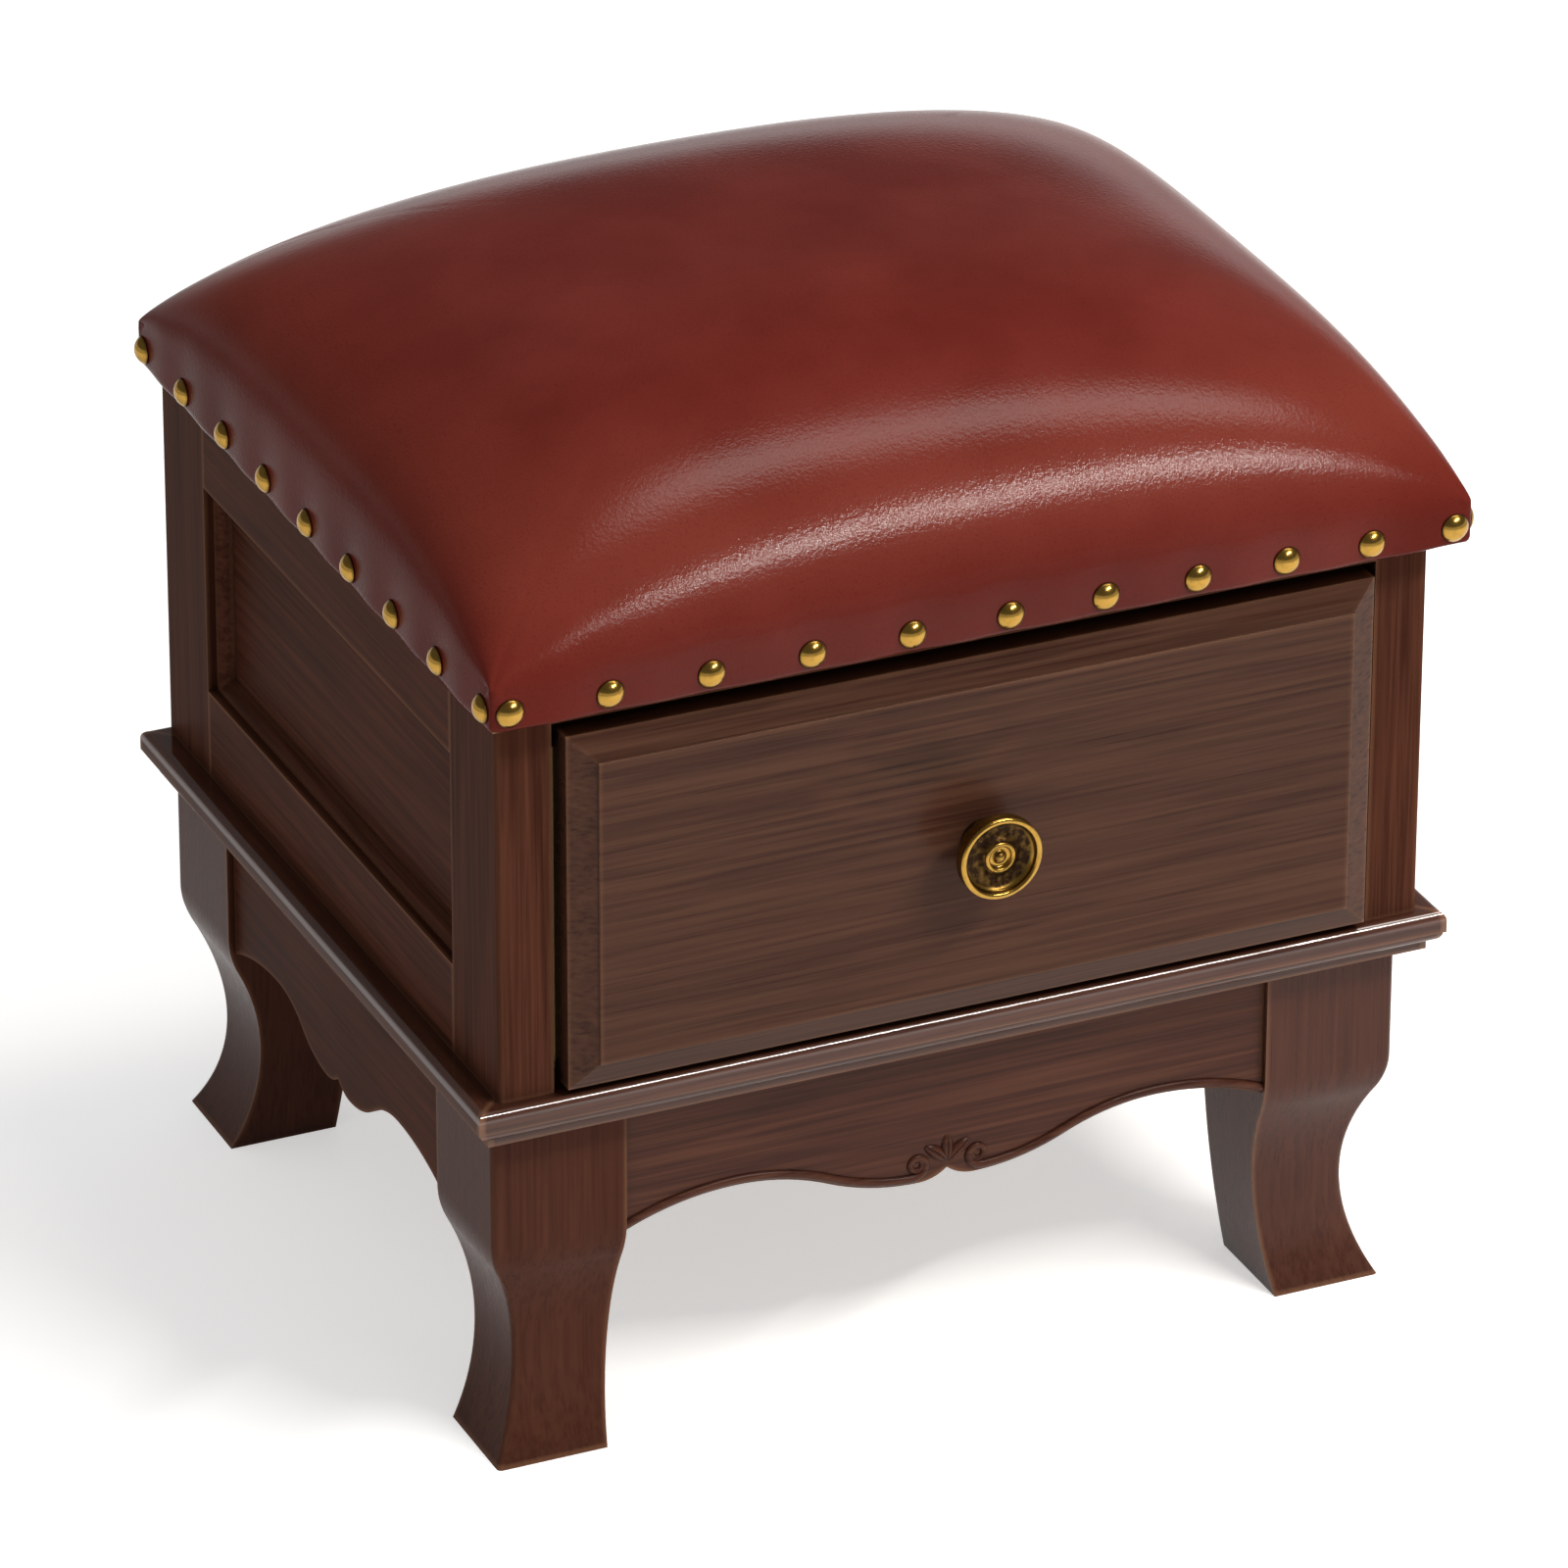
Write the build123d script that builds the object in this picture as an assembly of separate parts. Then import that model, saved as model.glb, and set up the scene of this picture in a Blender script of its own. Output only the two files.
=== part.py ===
from build123d import *
import os
from math import asin, atan, cos, pi, radians, sin, sqrt

# Storage footstool: a leather-topped box with one drawer, a moulded waist and four cabriole legs.
# Millimetres, +Z up. The origin is on the floor, midway between the knob's face and the back of the
# waist moulding. The drawer opens towards -Y.

# Overall sizes of the box and of the stand under it
carcass_width = 398.0
carcass_depth = 352.0
carcass_height = 170.0
leg_height = 156.0
waist_thickness = 18.0

# Waist moulding: a mitred frame with a moulded outer edge and a thin panel inside
waist_overhang_side = 11.0
waist_overhang_front = 6.0
waist_overhang_rear = 6.0
waist_strip_width = 60.0
waist_top_round = 4.0
waist_flat = 5.0
waist_step = 1.0
waist_ovolo = 5.0
bottom_panel_thickness = 6.0
bottom_panel_rebate = 8.0

# Cabriole legs, cut to the same S-curve on both outer faces
base_setback_front = 13.0
base_setback_side = 2.0
base_setback_rear = 0.0
leg_width = 57.0
foot_width = 47.0
knee_height = 103.0
ankle_height = 45.0
ankle_inset = 14.0
toe_inset = 2.0
calf_bow = 1.5
leg_arris_round = 2.5

# Aprons with a scalloped lower edge, depths measured down from the waist
apron_thickness = 18.0
apron_recess = 3.0
apron_end_depth = 60.0
apron_arch_depth = 50.0
apron_drop_depth = 67.0
apron_notch_depth = 62.5
apron_arch_from_leg = 48.0
apron_drop_half_width = 12.0
glue_block_spacing = 5.0
glue_block_height = 40.0

# Side and back frames: stiles, rails, let-in panels and quarter-round beads
frame_thickness = 23.0
stile_width = 46.0
stile_arris_round = 2.0
rail_height = 39.0
panel_recess = 10.0
panel_thickness = 6.0
groove_depth = 6.0
panel_play = 0.5
bead_size = 6.0
front_rail_height = 10.0

# Drawer front: a raised field with bevelled borders, standing proud of the stiles
drawer_gap = 3.5
drawer_edge_proud = 6.0
drawer_field_rise = 6.0
drawer_bevel_width = 11.0
drawer_field_step = 1.0
drawer_field_round = 0.7
drawer_front_inset = 7.0

# Drawer box and what carries it
drawer_side_thickness = 12.0
drawer_end_thickness = 12.0
drawer_side_play = 1.5
drawer_side_height = 136.0
drawer_floor_thickness = 5.0
drawer_floor_raise = 8.0
drawer_floor_groove = 6.0
drawer_running_gap = 0.3
drawer_rear_space = 12.0
runner_height = 10.0
runner_width = 20.0
stop_width = 30.0
stop_height = 24.0
stop_inset = 40.0

# Brass knob, turned with a dished face and a centre boss
knob_diameter = 35.0
knob_projection = 20.0
knob_base_diameter = 17.0
knob_neck_diameter = 12.0
knob_rim_depth = 7.0
knob_rim_width = 2.6
knob_dish_depth = 4.0
knob_boss_diameter = 13.0
knob_boss_height = 2.6
knob_button_diameter = 4.6
knob_bore_depth = 11.0

# Seat: a board, a foam crown and a leather cover nailed round the board's edge
seat_overhang_side = 10.0
seat_overhang_front = 19.0
seat_overhang_rear = 1.0
seat_board_thickness = 18.0
seat_crown = 80.0
seat_end_rise = 2.0
seat_haunch_across = 0.70
seat_haunch_along = 0.75
crown_section_step = 15
leather_thickness = 2.0
foam_play = 0.3
cleat_size = 18.0

# Brass-headed upholstery nails
nail_head_diameter = 12.0
nail_head_height = 3.5
nail_shank_diameter = 2.0
nail_shank_length = 11.0
nail_inset = 8.5
nail_drift = 9.0
nail_drift_skew = 1.4
nail_lift = 8.0
nails_along_front = 11
nails_along_side = 9

# Wood screws and the machine screw of the knob
screw_shank_diameter = 4.0
screw_head_diameter = 7.5
screw_head_height = 2.5
screw_hole_play = 0.2
screw_bite = 12.0
stand_screw_bite = 9.0
seat_screws_per_cleat = 3
screw_end_margin = 40.0

# Places worked out from the sizes above
waist_bottom = leg_height
waist_top = waist_bottom + waist_thickness
seat_bottom = waist_top + carcass_height
board_top = seat_bottom + seat_board_thickness
front_reach = carcass_depth / 2 + drawer_edge_proud + drawer_field_rise + knob_projection
rear_reach = carcass_depth / 2 + max(waist_overhang_rear, seat_overhang_rear + nail_head_height)
carcass_y = (front_reach - rear_reach) / 2
front = carcass_y - carcass_depth / 2
rear = carcass_y + carcass_depth / 2
half_width = carcass_width / 2
opening_half = half_width - frame_thickness
opening_top = seat_bottom - front_rail_height
knee_x = half_width - base_setback_side
knee_front = front + base_setback_front
knee_rear = rear - base_setback_rear
glue_block_leg = leg_width - apron_recess - apron_thickness - glue_block_spacing
groove_near = panel_recess
groove_far = panel_recess + panel_thickness
drawer_back_plane = front + drawer_front_inset
drawer_face = front - drawer_edge_proud - drawer_field_rise
drawer_bottom_z = waist_top + drawer_gap
drawer_top_z = opening_top - drawer_gap
box_half = opening_half - drawer_side_play
box_inner_half = box_half - drawer_side_thickness
box_bottom = waist_top + runner_height + drawer_running_gap
box_top = box_bottom + drawer_side_height
box_rear = rear - frame_thickness - drawer_rear_space
floor_bottom = box_bottom + drawer_floor_raise
floor_top = floor_bottom + drawer_floor_thickness
knob_z = (drawer_bottom_z + drawer_top_z) / 2

# The four sides in the order that pieces are made, each turned to face outwards
turn_front, turn_right, turn_rear, turn_left = 0, 90, 180, -90


def block(x_range, y_range, z_range):
    """A square-edged block between the given limits."""
    size = [high - low for low, high in (x_range, y_range, z_range)]
    middle = [(high + low) / 2 for low, high in (x_range, y_range, z_range)]
    return Pos(*middle) * Box(*size)


def facing(turn, x, y, piece):
    """Turn a piece made facing -Y about the vertical and set its outer face at x, y."""
    return Pos(x, y, 0) * Rot(0, 0, turn) * piece


def upright_profile(edges, depth):
    """Extrude an outline drawn in X and Z towards +Y."""
    face = make_face([Plane.XZ * edge for edge in edges])
    return extrude(face, amount=depth, dir=(0, 1, 0))


# Fasteners


def screw_with_hole(length, point, turn=(0, 0, 0)):
    """A round-headed screw driven along its local +Z from a sunk head, and the hole that takes it."""
    place = Pos(*point) * Rot(*turn)
    rise = Align.CENTER, Align.CENTER, Align.MIN
    head = Cylinder(screw_head_diameter / 2, screw_head_height, align=rise)
    shank = Pos(0, 0, screw_head_height) * Cylinder(screw_shank_diameter / 2, length, align=rise)
    sink = Cylinder(screw_head_diameter / 2 + screw_hole_play, screw_head_height, align=rise)
    bore_depth = screw_head_height + length + screw_hole_play
    bore = Cylinder(screw_shank_diameter / 2 + screw_hole_play, bore_depth, align=rise)
    return place * (head + shank), place * (sink + bore)


def nail():
    """A domed nail whose head rests on the plane Y = 0 and whose shank points to +Y."""
    head_radius = nail_head_diameter / 2
    dome_radius = (head_radius**2 + nail_head_height**2) / (2 * nail_head_height)
    half_angle = asin(head_radius / dome_radius) / 2
    shoulder = dome_radius * sin(half_angle), nail_head_height - dome_radius * (1 - cos(half_angle))
    shank_radius = nail_shank_diameter / 2
    outline = [
        ThreePointArc((0, nail_head_height), shoulder, (head_radius, 0)),
        Polyline(
            (head_radius, 0),
            (shank_radius, 0),
            (shank_radius, shank_radius - nail_shank_length),
            (0, -nail_shank_length),
            (0, nail_head_height),
        ),
    ]
    return Rot(90, 0, 0) * revolve(Plane.XZ * make_face(outline), Axis.Z)


# Stand: legs, aprons and glue blocks


def leg_outline():
    """One leg's outline: distance inwards from the knee's outer face, and height.

    The knee and ankle are two arcs that meet in a common tangent, the ankle arc running on to the toe.
    """
    drop = knee_height - ankle_height
    sweep = 2 * atan(ankle_inset / drop)
    toe_flare = ankle_inset - toe_inset
    ankle_radius = (ankle_height**2 + toe_flare**2) / (2 * toe_flare)
    knee_radius = drop / sin(sweep) - ankle_radius
    ankle_centre = ankle_inset - ankle_radius

    def on_knee(angle):
        return knee_radius * (1 - cos(angle)), knee_height - knee_radius * sin(angle)

    meeting = on_knee(sweep)
    inner_break = leg_height - apron_end_depth
    calf = (foot_width + toe_inset + leg_width) / 2 + calf_bow, inner_break / 2
    heel = foot_width + toe_inset, 0
    return [
        Line((0, leg_height), (0, knee_height)),
        ThreePointArc((0, knee_height), on_knee(sweep / 2), meeting),
        ThreePointArc(meeting, (ankle_centre + ankle_radius, ankle_height), (toe_inset, 0)),
        Line((toe_inset, 0), heel),
        ThreePointArc(heel, calf, (leg_width, inner_break)),
        Polyline((leg_width, inner_break), (leg_width, leg_height), (0, leg_height)),
    ]


def corner_leg():
    """A leg with its knee's outer corner on the vertical axis, growing towards +X and +Y."""
    across = upright_profile(leg_outline(), leg_width)
    along = mirror(Rot(0, 0, 90) * across, Plane.YZ)
    shaped = across & along

    def on_outer_arris(edge):
        middle = edge.center()
        return abs(middle.X - middle.Y) < leg_arris_round / 10 and middle.X < leg_width / 2

    return fillet(shaped.edges().filter_by(on_outer_arris), leg_arris_round)


def make_legs():
    base = corner_leg()
    mirrored = mirror(base, Plane.YZ)
    return {
        "leg_front_left": Pos(-knee_x, knee_front, 0) * base,
        "leg_front_right": Pos(knee_x, knee_front, 0) * mirrored,
        "leg_rear_left": Pos(-knee_x, knee_rear, 0) * mirror(base, Plane.XZ),
        "leg_rear_right": Pos(knee_x, knee_rear, 0) * mirror(mirrored, Plane.XZ),
    }


def apron(length):
    """An apron with a double-arched lower edge that hangs lowest beside a small notch at its centre."""
    half = length / 2
    arch_x = half - apron_arch_from_leg
    drop_x = apron_drop_half_width

    def below(x, depth):
        return x, leg_height - depth

    ogee_middle = below((arch_x + drop_x) / 2, (apron_arch_depth + apron_drop_depth) / 2)
    half_edges = [
        Line(below(0, 0), below(half, 0)),
        Line(below(half, 0), below(half, apron_end_depth)),
        TangentArc(below(arch_x, apron_arch_depth), below(half, apron_end_depth), tangent=(1, 0)),
        TangentArc(below(arch_x, apron_arch_depth), ogee_middle, tangent=(-1, 0)),
        TangentArc(below(drop_x, apron_drop_depth), ogee_middle, tangent=(1, 0)),
        TangentArc(below(drop_x, apron_drop_depth), below(0, apron_notch_depth), tangent=(-1, 0)),
    ]
    edges = half_edges + [mirror(edge, Plane.YZ) for edge in half_edges]
    return upright_profile(edges, apron_thickness)


def glue_blocks(length):
    """Three-cornered blocks that back an apron's joint with the leg at each end, and their screws."""
    low = leg_height - glue_block_height
    half = length / 2
    corner = Plane.XY.offset(low) * make_face(
        Polyline((0, 0), (glue_block_leg, 0), (0, glue_block_leg), close=True)
    )
    solid = extrude(corner, amount=glue_block_height)
    left = Pos(-half, apron_thickness, 0) * solid
    middle = glue_block_leg / 3
    length_of_screw = glue_block_height + stand_screw_bite - screw_head_height
    pin, hole = screw_with_hole(length_of_screw, (middle - half, apron_thickness + middle, low))
    ends = left - hole, pin, hole
    return [[one, mirror(one, Plane.YZ)] for one in ends]


def make_stand():
    """Aprons, glue blocks and the screws that hold the stand to the waist, with their holes."""
    width = 2 * (knee_x - leg_width)
    depth = knee_rear - knee_front - 2 * leg_width
    side_y = (knee_front + knee_rear) / 2
    places = {
        "front": (turn_front, 0, knee_front + apron_recess, width),
        "rear": (turn_rear, 0, knee_rear - apron_recess, width),
        "left": (turn_left, -knee_x + apron_recess, side_y, depth),
        "right": (turn_right, knee_x - apron_recess, side_y, depth),
    }
    parts = {}
    screws = []
    holes = []
    for side, (turn, x, y, length) in places.items():
        blocks, pins, pin_holes = glue_blocks(length)
        parts[f"apron_{side}"] = facing(turn, x, y, apron(length))
        parts[f"glue_blocks_{side}"] = [facing(turn, x, y, one) for one in blocks]
        screws += [facing(turn, x, y, pin) for pin in pins]
        holes += [facing(turn, x, y, hole) for hole in pin_holes]
    parts["stand_screws"] = screws
    return parts, holes


# Waist: four mitred strips and the panel inside them


def waist_strip(length):
    """One strip with a rounded top edge, a flat, and an ovolo underneath, mitred at both ends."""
    inner = waist_strip_width
    flat_top = waist_thickness - waist_top_round
    ovolo_top = flat_top - waist_flat
    ovolo_bottom = ovolo_top - waist_ovolo
    under = waist_step + waist_ovolo
    diagonal = sqrt(0.5)
    round_middle = (
        waist_top_round * (1 - diagonal),
        waist_thickness - waist_top_round * (1 - diagonal),
    )
    ovolo_middle = under - waist_ovolo * diagonal, ovolo_top - waist_ovolo * diagonal
    rebate = waist_thickness - bottom_panel_thickness
    edges = [
        ThreePointArc((waist_top_round, waist_thickness), round_middle, (0, flat_top)),
        Polyline((0, flat_top), (0, ovolo_top), (waist_step, ovolo_top)),
        ThreePointArc((waist_step, ovolo_top), ovolo_middle, (under, ovolo_bottom)),
        Polyline(
            (under, ovolo_bottom),
            (under, 0),
            (inner, 0),
            (inner, rebate),
            (inner - bottom_panel_rebate, rebate),
            (inner - bottom_panel_rebate, waist_thickness),
            (waist_top_round, waist_thickness),
        ),
    ]
    section = make_face([Plane.YZ * edge for edge in edges])
    strip = Pos(-length / 2, 0, 0) * extrude(section, amount=length, dir=(1, 0, 0))
    mitre = make_face(
        Polyline(
            (-length / 2, 0),
            (length / 2, 0),
            (length / 2 - inner, inner),
            (inner - length / 2, inner),
            close=True,
        )
    )
    return Pos(0, 0, waist_bottom) * (strip & extrude(mitre, amount=waist_thickness))


def make_waist(holes):
    outer_x = half_width + waist_overhang_side
    outer_front = front - waist_overhang_front
    outer_rear = rear + waist_overhang_rear
    middle_y = (outer_front + outer_rear) / 2
    long_strip = waist_strip(2 * outer_x)
    short_strip = waist_strip(outer_rear - outer_front)
    parts = {
        "waist_front": facing(turn_front, 0, outer_front, long_strip),
        "waist_rear": facing(turn_rear, 0, outer_rear, long_strip),
        "waist_left": facing(turn_left, -outer_x, middle_y, short_strip),
        "waist_right": facing(turn_right, outer_x, middle_y, short_strip),
    }
    for name in parts:
        parts[name] = parts[name] - holes
    reach = waist_strip_width - bottom_panel_rebate + panel_play
    parts["bottom_panel"] = block(
        (reach - outer_x, outer_x - reach),
        (outer_front + reach, outer_rear - reach),
        (waist_top - bottom_panel_thickness, waist_top),
    )
    return parts


# Carcass: stiles, and the rails, panels and beads between them


def rail(span, low, groove_up):
    """A rail between two stiles, tongued at its ends and grooved on the edge that takes the panel."""
    half = span / 2
    heights = low, low + rail_height
    body = block((-half, half), (0, frame_thickness), heights)
    reach = half + groove_depth
    tongue = block((-reach, reach), (groove_near, groove_far), heights)
    lip = heights[1] - groove_depth if groove_up else low
    groove = block((-reach, reach), (groove_near, groove_far), (lip, lip + groove_depth))
    return body + tongue - groove


def let_in_panel(span):
    """The flat panel that floats in the grooves of its frame."""
    reach = span / 2 + groove_depth - panel_play
    grip = groove_depth - panel_play
    low = waist_top + rail_height - grip
    high = seat_bottom - rail_height + grip
    return block((-reach, reach), (groove_near, groove_far), (low, high))


def bead_strip(length):
    """A quarter-round strip lying in the corner of panel and frame, mitred at both ends."""
    half = length / 2
    curve_middle = bead_size * sqrt(0.5)
    outline = [
        Line((0, 0), (-bead_size, 0)),
        ThreePointArc((-bead_size, 0), (-curve_middle, curve_middle), (0, bead_size)),
        Line((0, bead_size), (0, 0)),
    ]
    section = make_face([Plane.YZ * edge for edge in outline])
    strip = Pos(-half, 0, 0) * extrude(section, amount=length, dir=(1, 0, 0))
    mitre = [
        Polyline(
            (-half, 0),
            (half, 0),
            (half - bead_size, bead_size),
            (bead_size - half, bead_size),
            close=True,
        )
    ]
    return strip & Pos(0, -bead_size, 0) * upright_profile(mitre, bead_size)


def bead_ring(span):
    """Four beads round one panel."""
    low = waist_top + rail_height
    high = seat_bottom - rail_height
    middle = Pos(0, panel_recess, (low + high) / 2)
    half_height = (high - low) / 2
    level = bead_strip(span)
    upright = bead_strip(high - low)
    return [
        middle * Pos(0, 0, -half_height) * level,
        middle * Rot(0, 180, 0) * Pos(0, 0, -half_height) * level,
        middle * Rot(0, 90, 0) * Pos(0, 0, -span / 2) * upright,
        middle * Rot(0, -90, 0) * Pos(0, 0, -span / 2) * upright,
    ]


def stile(at_rear):
    """A right-hand corner stile, grooved for the side rails, and at the rear for the back rails too."""
    inner = half_width - frame_thickness
    low, high = (rear - stile_width, rear) if at_rear else (front, front + stile_width)
    heights = waist_top, seat_bottom
    post = block((inner, half_width), (low, high), heights)
    corner_y = rear if at_rear else front
    arris = post.edges().filter_by(Axis.Z).sort_by_distance((half_width, corner_y, waist_top))[0]
    post = fillet(arris, stile_arris_round)
    groove_y = (low, low + groove_depth) if at_rear else (high - groove_depth, high)
    post -= block((half_width - groove_far, half_width - groove_near), groove_y, heights)
    if at_rear:
        post -= block((inner, inner + groove_depth), (rear - groove_far, rear - groove_near), heights)
    return post


def make_carcass():
    parts = {}
    for end, at_rear in (("front", False), ("rear", True)):
        right = stile(at_rear)
        parts[f"stile_{end}_right"] = right
        parts[f"stile_{end}_left"] = mirror(right, Plane.YZ)
    side_span = carcass_depth - 2 * stile_width
    back_span = carcass_width - 2 * frame_thickness
    places = {
        "left": (turn_left, -half_width, carcass_y, side_span),
        "right": (turn_right, half_width, carcass_y, side_span),
        "back": (turn_rear, 0, rear, back_span),
    }
    for side, (turn, x, y, span) in places.items():
        parts[f"bottom_rail_{side}"] = facing(turn, x, y, rail(span, waist_top, True))
        parts[f"top_rail_{side}"] = facing(turn, x, y, rail(span, seat_bottom - rail_height, False))
        parts[f"panel_{side}"] = facing(turn, x, y, let_in_panel(span))
        parts[f"panel_beads_{side}"] = [facing(turn, x, y, bead) for bead in bead_ring(span)]
    parts["top_rail_front"] = block(
        (-opening_half, opening_half), (front, front + stile_width), (opening_top, seat_bottom)
    )
    return parts


def make_drawer_supports():
    """Runners under the drawer's sides and the stop blocks behind it."""
    parts = {}
    runner_y = drawer_back_plane + drawer_end_thickness, rear - frame_thickness
    right = block(
        (opening_half - runner_width, opening_half), runner_y, (waist_top, waist_top + runner_height)
    )
    parts["drawer_runner_right"] = right
    parts["drawer_runner_left"] = mirror(right, Plane.YZ)
    stop_x = opening_half - stop_inset
    stop = block(
        (stop_x - stop_width, stop_x),
        (box_rear + drawer_running_gap, rear - frame_thickness),
        (waist_top, waist_top + stop_height),
    )
    parts["drawer_stops"] = [stop, mirror(stop, Plane.YZ)]
    return parts


# Drawer


def drawer_front_board():
    """The front board: a straight edge, a bevel all round, and a field standing a step above the bevel."""
    middle_z = (drawer_bottom_z + drawer_top_z) / 2
    width = 2 * (opening_half - drawer_gap)
    height = drawer_top_z - drawer_bottom_z
    edge_plane = front - drawer_edge_proud
    bevel_plane = drawer_face + drawer_field_step
    field_width = width - 2 * drawer_bevel_width
    field_height = height - 2 * drawer_bevel_width

    def face_at(y, wide, high):
        return Plane((0, y, middle_z), x_dir=(1, 0, 0), z_dir=(0, -1, 0)) * Rectangle(wide, high)

    board = block(
        (-width / 2, width / 2), (edge_plane, drawer_back_plane), (drawer_bottom_z, drawer_top_z)
    )
    bevel = loft([face_at(edge_plane, width, height), face_at(bevel_plane, field_width, field_height)])
    field = extrude(face_at(bevel_plane, field_width, field_height), amount=drawer_field_step)
    field = fillet(field.faces().sort_by(Axis.Y)[0].edges(), drawer_field_round)
    return board + bevel + field


def drawer_side():
    """The right-hand side, grooved for the drawer's floor."""
    side = block((box_inner_half, box_half), (drawer_back_plane, box_rear), (box_bottom, box_top))
    groove = block(
        (box_inner_half, box_inner_half + drawer_floor_groove),
        (drawer_back_plane, box_rear),
        (floor_bottom, floor_top),
    )
    return side - groove


def knob():
    """A turned knob pointing to -Y: a waisted neck, a rim, a dished face, a boss, a button and a bore."""
    rim = knob_diameter / 2
    rim_back = knob_projection - knob_rim_depth
    rim_front = knob_projection - knob_rim_width / 2
    rim_middle = rim - knob_rim_width / 2
    dish_edge = rim - knob_rim_width
    dish_floor = knob_projection - knob_dish_depth
    base = knob_base_diameter / 2
    neck = knob_neck_diameter / 2
    neck_height = rim_back / 2
    boss = knob_boss_diameter / 2
    boss_top = dish_floor + knob_boss_height
    boss_foot = boss_top - knob_boss_height / 2
    button = knob_button_diameter / 2
    button_top = boss_top + knob_boss_height / 4
    bore = screw_shank_diameter / 2 + screw_hole_play
    bore_end = knob_bore_depth + screw_hole_play
    outline = [
        Polyline((bore, bore_end), (bore, 0), (base, 0), (base, knob_rim_width / 2)),
        TangentArc((neck, neck_height), (base, knob_rim_width / 2), tangent=(0, -1)),
        TangentArc((neck, neck_height), (dish_edge, rim_back), tangent=(0, 1)),
        Polyline((dish_edge, rim_back), (rim, rim_back + knob_rim_width), (rim, rim_front)),
        ThreePointArc((rim, rim_front), (rim_middle, knob_projection), (dish_edge, rim_front)),
        ThreePointArc((dish_edge, rim_front), ((dish_edge + boss) / 2, dish_floor), (boss, boss_foot)),
        Polyline(
            (boss, boss_foot),
            (boss - knob_boss_height / 2, boss_top),
            (button + knob_boss_height / 2, boss_top),
            (button, boss_foot),
        ),
        TangentArc((0, button_top), (button, boss_foot), tangent=(1, 0)),
        Polyline((0, button_top), (0, bore_end), (bore, bore_end)),
    ]
    turned = revolve(Plane.XZ * make_face(outline), Axis.Z)
    return Pos(0, drawer_face, knob_z) * Rot(90, 0, 0) * turned


def make_drawer():
    front_inner = drawer_back_plane + drawer_end_thickness
    front_depth = front_inner - drawer_face
    knob_screw_length = front_depth + knob_bore_depth - screw_head_height
    knob_screw, knob_hole = screw_with_hole(knob_screw_length, (0, front_inner, knob_z), (90, 0, 0))
    front_screws = []
    holes = [knob_hole]
    screw_x = box_inner_half - screw_end_margin
    screw_rise = drawer_side_height / 2 - screw_end_margin
    box_middle = (box_bottom + box_top) / 2
    for x in (-screw_x, screw_x):
        for z in (box_middle - screw_rise, box_middle + screw_rise):
            length = drawer_end_thickness + screw_bite - screw_head_height
            one, hole = screw_with_hole(length, (x, front_inner, z), (90, 0, 0))
            front_screws.append(one)
            holes.append(hole)
    floor_reach = box_inner_half + drawer_floor_groove - panel_play
    floor_across = -floor_reach, floor_reach
    floor_front = front_inner - drawer_floor_groove + panel_play
    box_across = -box_inner_half, box_inner_half
    box_front = block(box_across, (drawer_back_plane, front_inner), (box_bottom, box_top))
    groove_y = front_inner - drawer_floor_groove, front_inner
    box_front -= block(box_across, groove_y, (floor_bottom, floor_top))
    right = drawer_side()
    return {
        "drawer_front": drawer_front_board() - holes,
        "drawer_box_front": box_front - holes,
        "drawer_side_right": right,
        "drawer_side_left": mirror(right, Plane.YZ),
        "drawer_back": block(box_across, (box_rear - drawer_end_thickness, box_rear), (floor_top, box_top)),
        "drawer_floor": block(floor_across, (floor_front, box_rear), (floor_bottom, floor_top)),
        "drawer_front_screws": front_screws,
        "drawer_knob": knob(),
        "knob_screw": knob_screw,
    }


# Seat


seat_half_x = half_width + seat_overhang_side
seat_front = front - seat_overhang_front
seat_rear = rear + seat_overhang_rear
seat_half_y = (seat_rear - seat_front) / 2
seat_y = (seat_front + seat_rear) / 2


def arch_radii(half_span, rise, haunch):
    """Haunch and crown radii of a three-arc arch that springs upright from both ends of its span."""
    small = haunch * rise
    large = ((half_span - small) ** 2 + rise**2 - small**2) / (2 * (rise - small))
    return small, large


def arch_height(distance, half_span, rise, haunch):
    """Height of that arch at a distance from its middle."""
    small, large = arch_radii(half_span, rise, haunch)
    tangent = (half_span - small) * large / (large - small)
    if abs(distance) <= tangent:
        return rise - large + sqrt(large**2 - distance**2)
    return sqrt(max(small**2 - (abs(distance) - half_span + small) ** 2, 0))


def crown_section(x, half_y, rise, low):
    """A front-to-back slice of the seat: a flat underside, upright edges and a three-arc crown."""
    small, large = arch_radii(half_y, rise, seat_haunch_along)
    angle = asin((half_y - small) / (large - small))
    tangent = large * sin(angle), board_top + rise - large + large * cos(angle)
    lean = (pi / 2 - angle) / 2
    haunch = half_y - small + small * cos(lean), board_top + small * sin(lean)

    def at(y, z):
        return x, seat_y + y, z

    return make_face(
        [
            Line(at(-half_y, low), at(half_y, low)),
            Line(at(half_y, low), at(half_y, board_top)),
            ThreePointArc(at(half_y, board_top), at(*haunch), at(*tangent)),
            ThreePointArc(at(*tangent), at(0, board_top + rise), at(-tangent[0], tangent[1])),
            ThreePointArc(at(-tangent[0], tangent[1]), at(-haunch[0], haunch[1]), at(-half_y, board_top)),
            Line(at(-half_y, board_top), at(-half_y, low)),
        ]
    )


def crown(inset, low):
    """The seat's crowned form, drawn in by an inset, as a loft through slices that close up to its ends."""
    half_x = seat_half_x - inset
    half_y = seat_half_y - inset
    top_rise = seat_crown - inset
    sections = []
    for lean in range(-90, 91, crown_section_step):
        x = half_x * sin(radians(lean))
        rise = seat_end_rise + arch_height(x, half_x, top_rise - seat_end_rise, seat_haunch_across)
        sections.append(crown_section(x, half_y, rise, low))
    return loft(sections)


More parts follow.
